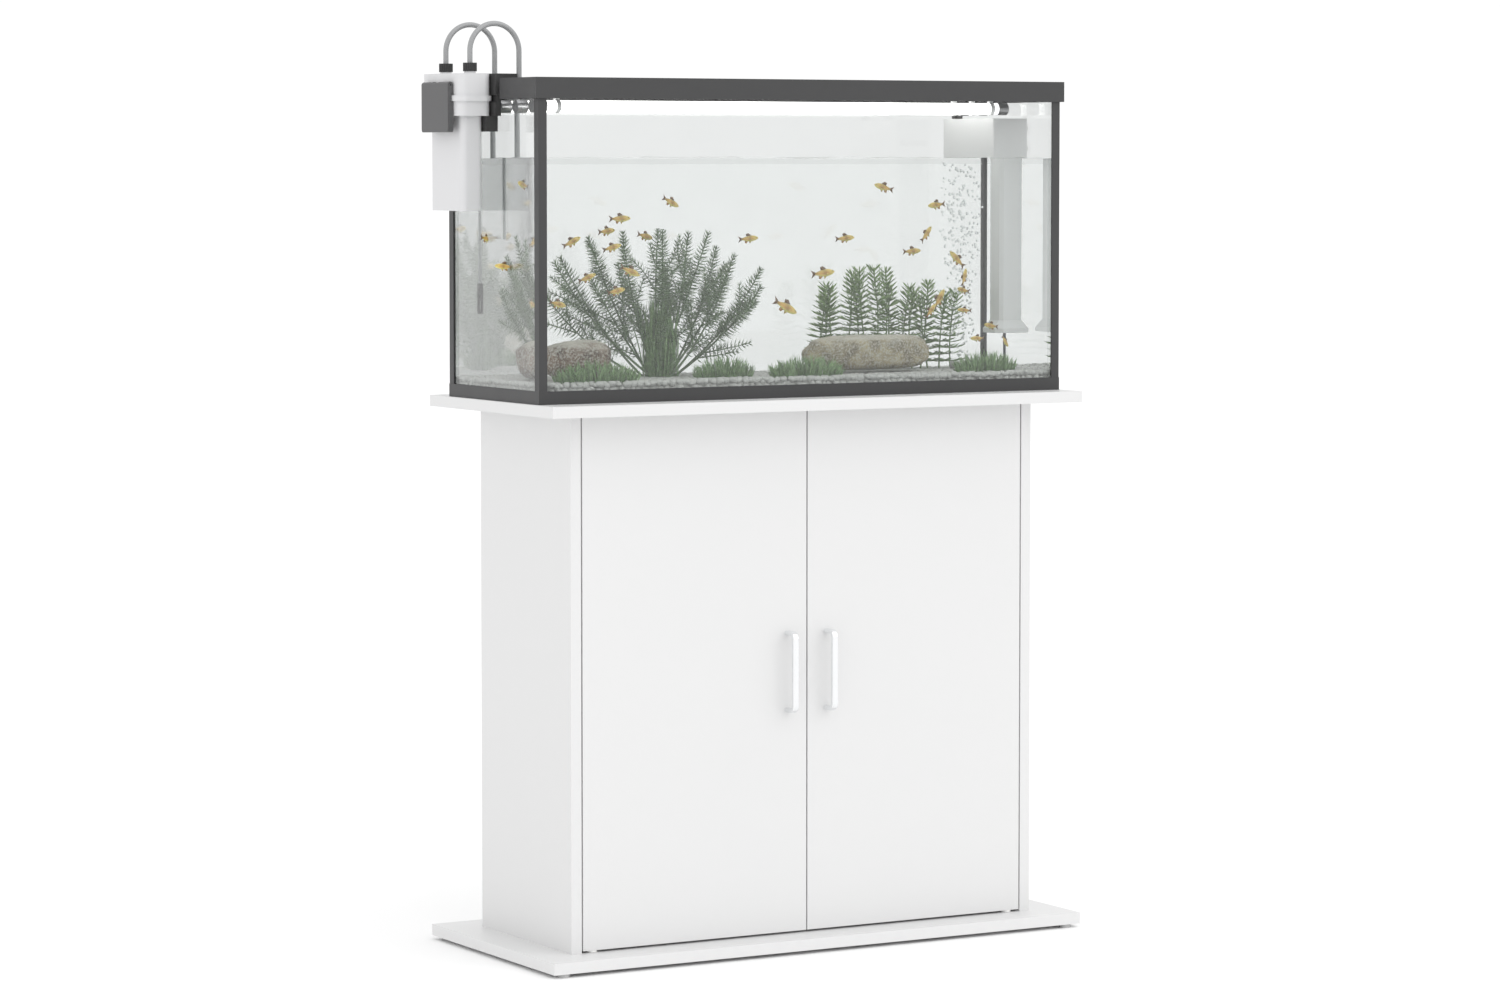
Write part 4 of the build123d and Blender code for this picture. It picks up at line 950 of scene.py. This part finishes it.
class AQUARIUM_OT_grass(bpy.types.Operator):
    """Sows the grass tufts"""

    bl_idname = "aquarium.grass"
    bl_label = "Grass"

    def execute(self, context):
        rng, shape, blades_per_metre = random.Random(31), Shape(), 5000
        for low, high in solid_boxes("grass_tufts"):
            centre, half, tall = (low + high) / 2, (high - low) / 2, high.z - low.z
            for _ in range(int(blades_per_metre * (high.x - low.x))):
                spread, y = rng.uniform(-1, 1), rng.uniform(-0.85, 0.85)
                place = (centre.x + spread * half.x * 0.92, centre.y + y * half.y)
                root = Vector((*place, low.z - 0.004))
                tilt = (spread * 0.30 + rng.gauss(0, 0.16), y * 0.10 + rng.gauss(0, 0.08), 1.0)
                lean = Vector(tilt).normalized()
                bend = Vector((lean.x * 1.2 + rng.gauss(0, 0.2), lean.y, -0.1))
                length = tall * (1.05 - 0.45 * spread * spread) * rng.uniform(0.45, 1.05)
                before = len(shape.points)
                blade(shape, root, lean, bend, length, 0.0014, (0.0, rng.uniform(0.3, 1.0)), 4)
                shape.hold(before, low - Vector((0, 0, 0.005)), high)
        green = grass_green(context.scene.aquarium_planting)
        shape.piece("grass_blades", green, "leaf_green", replaces=["grass_tufts"], smooth=False)
        return {"FINISHED"}


# ---------------- water, fish and bubbles


# Each fish: its place (x, y and z in millimetres), the way it faces (1 right, -1 left),
# how far its nose is up in degrees, its turn to the back in degrees, and its size.
SHOAL = (
    (-134, -20, 987, 1, -25, 10, 1.0),
    (-225, -60, 966, 1, 2, -12, 1.05),
    (-218, 10, 949, 1, 5, 15, 1.0),
    (-288, -40, 936, 1, 25, 0, 1.0),
    (-246, -85, 929, 1, 15, -10, 0.95),
    (-157, 20, 942, 1, -12, 20, 1.0),
    (-277, -70, 890, 1, 20, 0, 0.95),
    (-244, -95, 873, 1, 10, 8, 1.0),
    (-210, -60, 898, 1, -22, 0, 1.1),
    (-316, -60, 857, 1, -12, 15, 1.0),
    (-21, -30, 938, 1, 5, -10, 1.0),
    (11, -90, 849, 1, -26, 5, 1.4),
    (185, -40, 1005, -1, 15, 5, 1.05),
    (286, 0, 981, -1, -5, -10, 1.05),
    (243, -60, 942, 1, 45, 20, 1.0),
    (259, 30, 918, 1, 3, 0, 1.0),
    (136, -10, 937, 1, 5, -8, 1.0),
    (77, -70, 892, 1, 6, 0, 1.25),
    (306, -30, 907, -1, 45, 10, 1.05),
    (281, -20, 853, 1, 58, 0, 1.1),
    (302, -62, 866, -1, 10, 65, 0.85),
    (318, -30, 838, -1, 5, 20, 0.75),
    (332, -95, 818, -1, 8, 55, 0.85),
    (317, -80, 801, -1, 0, 0, 0.8),
    (352, -100, 797, 1, -45, 30, 0.75),
    (297, -75, 883, 1, 72, 20, 0.9),
    (259, -40, 838, 1, 50, 0, 0.85),
    (-352, -70, 1010, -1, 12, 10, 1.0),
    (-368, 20, 940, 1, -8, 30, 0.9),
    (-372, -40, 905, -1, 5, 10, 0.9),
)


class AQUARIUM_OT_fish(bpy.types.Operator):
    """Models the shoal"""

    bl_idname = "aquarium.fish"
    bl_label = "Fish"

    def execute(self, context):
        look = context.scene.aquarium_fish
        points, faces, tints = self.one_fish(look)
        shape = Shape()
        for x, y, z, way, nose, turn, size in SHOAL:
            place = Matrix.Translation(Vector((x, y, z)) * MM)
            heading = Matrix.Rotation(radians(turn if way > 0 else 180 - turn), 4, "Z")
            tilt = Matrix.Rotation(radians(-nose), 4, "Y")
            scale = Matrix.Scale(look.length * size, 4)
            whole = place @ heading @ tilt @ scale
            shape.add([whole @ p for p in points], faces, tints)
        shape.piece("fish_shoal", self.scales())
        return {"FINISHED"}

    def one_fish(self, look):
        """A fish of unit length with its nose along +X: body, tail, fins and eyes."""
        shape = Shape()
        gold, orange, dark = tuple(look.gold), tuple(look.orange), tuple(look.marking)
        profile = (
            (0.50, 0.010, 0.008), (0.47, 0.040, 0.028), (0.42, 0.072, 0.046),
            (0.34, 0.102, 0.060), (0.22, 0.126, 0.066), (0.08, 0.130, 0.064),
            (-0.06, 0.110, 0.054), (-0.18, 0.078, 0.038), (-0.27, 0.050, 0.024),
            (-0.33, 0.042, 0.016),
        )
        sides = 12
        points, tints, faces = [], [], []
        for i, (x, tall, wide) in enumerate(profile):
            for s in range(sides):
                turn = tau * s / sides
                up = cos(turn)
                points.append(Vector((x, wide * sin(turn), tall * up - 0.01 * (up < 0))))
                flank = 1.0 - abs(up)
                share = 0.9 if x < 0.25 else 0.2
                colour = [g + (o - g) * flank * share for g, o in zip(gold, orange)]
                if up < -0.6:
                    colour = [min(1.0, c * 1.25 + 0.06) for c in colour]
                back, band = up > 0.8 and x < 0.2, abs(x - 0.08) < 0.03 and flank > 0.2
                if back or band or x < -0.20 and flank > 0.4:
                    colour = [0.55 * c + 0.45 * d for c, d in zip(colour, dark)]
                tints.append(tuple(colour))
        for i in range(len(profile) - 1):
            for s in range(sides):
                a, b, n = i * sides, (i + 1) * sides, (s + 1) % sides
                faces.append((a + s, b + s, b + n, a + n))
        faces.append(tuple(range(sides)))
        faces.append(tuple((len(profile) - 1) * sides + s for s in range(sides - 1, -1, -1)))
        shape.add(points, faces, tints)
        tail = ((-0.31, 0.045), (-0.50, 0.15), (-0.42, 0.0), (-0.50, -0.15), (-0.31, -0.045))
        fins = (
            (tail, dark),
            (((0.16, 0.14), (0.02, 0.25), (-0.10, 0.21), (-0.08, 0.11)), dark),
            (((-0.02, -0.13), (-0.10, -0.22), (-0.18, -0.19), (-0.17, -0.08)), orange),
            (((0.16, -0.14), (0.06, -0.24), (0.03, -0.13)), gold),
        )
        thin = 0.006
        for outline, colour in fins:
            count = len(outline)
            edge = [Vector((x, side * thin, z)) for side in (-1, 1) for x, z in outline]
            walls = [(i, count + i, count + (i + 1) % count, (i + 1) % count) for i in range(count)]
            ends = [tuple(range(count)), tuple(range(2 * count - 1, count - 1, -1))]
            tint = tuple(0.5 * c + 0.5 * d for c, d in zip(colour, dark))
            shape.add(edge, walls + ends, [tint] * (2 * count))
        for side in (-1, 1):
            eye, eye_faces = ball(4, 6)
            at = Vector((0.40, side * 0.050, 0.030))
            shape.add([at + 0.022 * p for p in eye], eye_faces, EYE)
            root = Vector((0.22, side * 0.075, -0.05))
            fin = [root, root + Vector((-0.10, side * 0.05, -0.05))]
            fin.append(root + Vector((-0.08, side * 0.03, 0.03)))
            fin += [p + Vector((0, 0, thin)) for p in fin]
            fin_faces = [(0, 1, 2), (5, 4, 3), (0, 3, 4, 1), (1, 4, 5, 2), (2, 5, 3, 0)]
            shape.add(fin, fin_faces, gold)
        return shape.points, shape.faces, shape.tints

    def scales(self):
        """Small dark-rimmed scales over each point's tint."""
        made, tree, shader = new_material("fish_scales")
        cells = noise_field(tree, 0.0011, 2.0, kind="ShaderNodeTexVoronoi").outputs["Distance"]
        net = ranged(tree, cells, 0.0, 0.25, 0.4, 0.9)
        colour = mixed_colour(tree, net, point_tint(tree).outputs["Color"], FISH_NET)
        finish(tree, shader, colour, ranged(tree, cells, 0.28, 0.45), cells, 0.25, 0.0003)
        return made


class AQUARIUM_OT_bubbles(bpy.types.Operator):
    """Lets bubbles rise from the air stone"""

    bl_idname = "aquarium.bubbles"
    bl_label = "Bubbles"

    def execute(self, context):
        scene = context.scene
        rng = random.Random(77)
        low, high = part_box("air_stone")
        source = Vector(((low.x + high.x) / 2, (low.y + high.y) / 2, high.z + 0.003))
        rise = scene.aquarium_tank.water_level - 0.006 - source.z
        points, faces = ball(7, 10)
        shape = Shape()
        for _ in range(scene.aquarium_fish.bubbles):
            share = rng.random() ** 0.85
            spread = 0.014 + 0.016 * share
            radius = rng.uniform(0.0011, 0.0021) + 0.0008 * share * rng.random()
            x, y = rng.uniform(-1, 1) * spread, rng.uniform(-1, 1) * spread
            centre = source + Vector((x, y, share * rise))
            shape.add([centre + Vector((p.x, p.y, p.z * 0.86)) * radius for p in points], faces)
        shape.piece("air_bubbles", clear("bubble_air", BUBBLE, BUBBLE_IOR), "air_hose")
        return {"FINISHED"}


class AQUARIUM_OT_water(bpy.types.Operator):
    """Fills the tank, with ripples on the surface"""

    bl_idname = "aquarium.water"
    bl_label = "Water"

    def execute(self, context):
        look = context.scene.aquarium_tank
        low, high = inside_tank()
        gap = 0.0003
        low, high = low + Vector((gap, gap, gap)), high - Vector((gap, gap, 0))
        columns, rows = 160, 50
        points, faces = [], sheet_faces(columns, rows)
        for j in range(rows + 1):
            for i in range(columns + 1):
                x = low.x + (high.x - low.x) * i / columns
                y = low.y + (high.y - low.y) * j / rows
                swell = noise.noise(Vector((x * 13, y * 17, 0.3)))
                swell += 0.5 * noise.noise(Vector((x * 34, y * 40, 2.0)))
                points.append(Vector((x, y, look.water_level + look.wave_height * swell)))
        row, foot = columns + 1, len(points)
        rim = [i for i in range(row)] + [j * row + columns for j in range(1, rows + 1)]
        rim += [rows * row + i for i in range(columns - 1, -1, -1)]
        rim += [j * row for j in range(rows - 1, 0, -1)]
        points += [Vector((points[i].x, points[i].y, low.z)) for i in rim]
        for k in range(len(rim)):
            n = (k + 1) % len(rim)
            faces.append((rim[k], foot + k, foot + n, rim[n]))
        faces.append(tuple(foot + k for k in range(len(rim) - 1, -1, -1)))
        shape = Shape()
        shape.add(points, faces)
        water = shape.piece("tank_water", clear("water", look.water_tint, WATER_IOR))
        for polygon in water.data.polygons[columns * rows:]:
            polygon.use_smooth = False
        return {"FINISHED"}


# ---------------- studio
FLOOR_SIZE, FLOOR_CELLS = 1600.0, 10
SUN_WAY = (-0.35, 0.75, -0.85)
SUN_WIDTH = radians(70)
CAMERA_PLACE = (-3.0421, -5.3090, 1.0430)
CAMERA_TURN, CAMERA_DROP = radians(29.942), radians(3.511)
CAMERA_SENSOR, CAMERA_SHIFT = 36.0, -0.04
CAMERA_NEAR, CAMERA_FAR = 0.05, 3000.0


class AQUARIUM_OT_studio(bpy.types.Operator):
    """Lays the floor and sets the lights and the camera"""

    bl_idname = "aquarium.studio"
    bl_label = "Studio"

    def execute(self, context):
        look, scene = context.scene.aquarium_studio, context.scene
        self.floor(look, scene)
        self.lights(look, scene)
        self.camera(look, scene)
        scene.view_settings.view_transform = "Standard"
        return {"FINISHED"}

    def floor(self, look, scene):
        """A wide pale floor."""
        ticks = [FLOOR_SIZE * (i / FLOOR_CELLS - 0.5) for i in range(FLOOR_CELLS + 1)]
        points = [(x, y, 0.0) for y in ticks for x in ticks]
        mesh = bpy.data.meshes.new("studio_floor")
        mesh.from_pydata(points, [], sheet_faces(FLOOR_CELLS, FLOOR_CELLS))
        floor_paint = moulded("floor_paint", look.floor, 0.9, mottle=0.004, cloud=1.5,
                              grain=0.004, depth=0.03)
        mesh.materials.append(floor_paint)
        floor = bpy.data.objects.new("studio_floor", mesh)
        scene.collection.objects.link(floor)

    def lights(self, look, scene):
        """An even white surround and one broad soft light."""
        world = bpy.data.worlds.new("studio_surround")
        world.use_nodes = True
        back = world.node_tree.nodes["Background"]
        back.inputs["Color"].default_value = (1.0, 1.0, 1.0, 1.0)
        back.inputs["Strength"].default_value = look.surround
        scene.world = world
        sun = bpy.data.lights.new("broad_soft_light", "SUN")
        sun.energy, sun.angle = look.sun, SUN_WIDTH
        lamp = bpy.data.objects.new("broad_soft_light", sun)
        scene.collection.objects.link(lamp)
        lamp.rotation_mode = "QUATERNION"
        lamp.rotation_quaternion = Vector(SUN_WAY).to_track_quat("-Z", "Y")

    def camera(self, look, scene):
        """The camera, a little above the tank's middle and to its left."""
        level = cos(CAMERA_DROP)
        ahead = Vector((sin(CAMERA_TURN) * level, cos(CAMERA_TURN) * level,
                        -sin(CAMERA_DROP)))
        lens = bpy.data.cameras.new("studio_camera")
        lens.sensor_width, lens.lens, lens.shift_y = CAMERA_SENSOR, look.lens, CAMERA_SHIFT
        lens.clip_start, lens.clip_end = CAMERA_NEAR, CAMERA_FAR
        camera = bpy.data.objects.new("studio_camera", lens)
        scene.collection.objects.link(camera)
        camera.location = CAMERA_PLACE
        camera.rotation_mode = "QUATERNION"
        camera.rotation_quaternion = ahead.to_track_quat("-Z", "Y")
        scene.camera = camera


# ---------------- add-on


STEPS = (
    AQUARIUM_OT_cabinet, AQUARIUM_OT_hardware, AQUARIUM_OT_glass,
    AQUARIUM_OT_frame, AQUARIUM_OT_lamp, AQUARIUM_OT_outer_filter,
    AQUARIUM_OT_inner_filter, AQUARIUM_OT_gravel, AQUARIUM_OT_rocks,
    AQUARIUM_OT_bush, AQUARIUM_OT_stems, AQUARIUM_OT_grass,
    AQUARIUM_OT_fish, AQUARIUM_OT_bubbles, AQUARIUM_OT_water,
    AQUARIUM_OT_studio,
)


class AQUARIUM_PT_sidebar(bpy.types.Panel):
    """Lists the aquarium's sizes, colours and steps"""

    bl_idname = "AQUARIUM_PT_sidebar"
    bl_label = "Aquarium on Stand"
    bl_space_type = "VIEW_3D"
    bl_region_type = "UI"
    bl_category = "Aquarium"

    def draw(self, context):
        for attribute, group in GROUPS.items():
            box = self.layout.box()
            box.label(text=group.__doc__.rstrip("."))
            for name in group.__annotations__:
                box.prop(getattr(context.scene, attribute), name)
        for step in STEPS:
            self.layout.operator(step.bl_idname)


def register():
    for cls in (*GROUPS.values(), *STEPS, AQUARIUM_PT_sidebar):
        bpy.utils.register_class(cls)
    for attribute, group in GROUPS.items():
        setattr(bpy.types.Scene, attribute, PointerProperty(type=group))


def unregister():
    for attribute in GROUPS:
        delattr(bpy.types.Scene, attribute)
    for cls in (AQUARIUM_PT_sidebar, *reversed(STEPS), *reversed(GROUPS.values())):
        bpy.utils.unregister_class(cls)


def main():
    register()
    for step in STEPS:
        getattr(bpy.ops.aquarium, step.bl_idname.split(".")[1])()


if __name__ == "__main__":
    main()
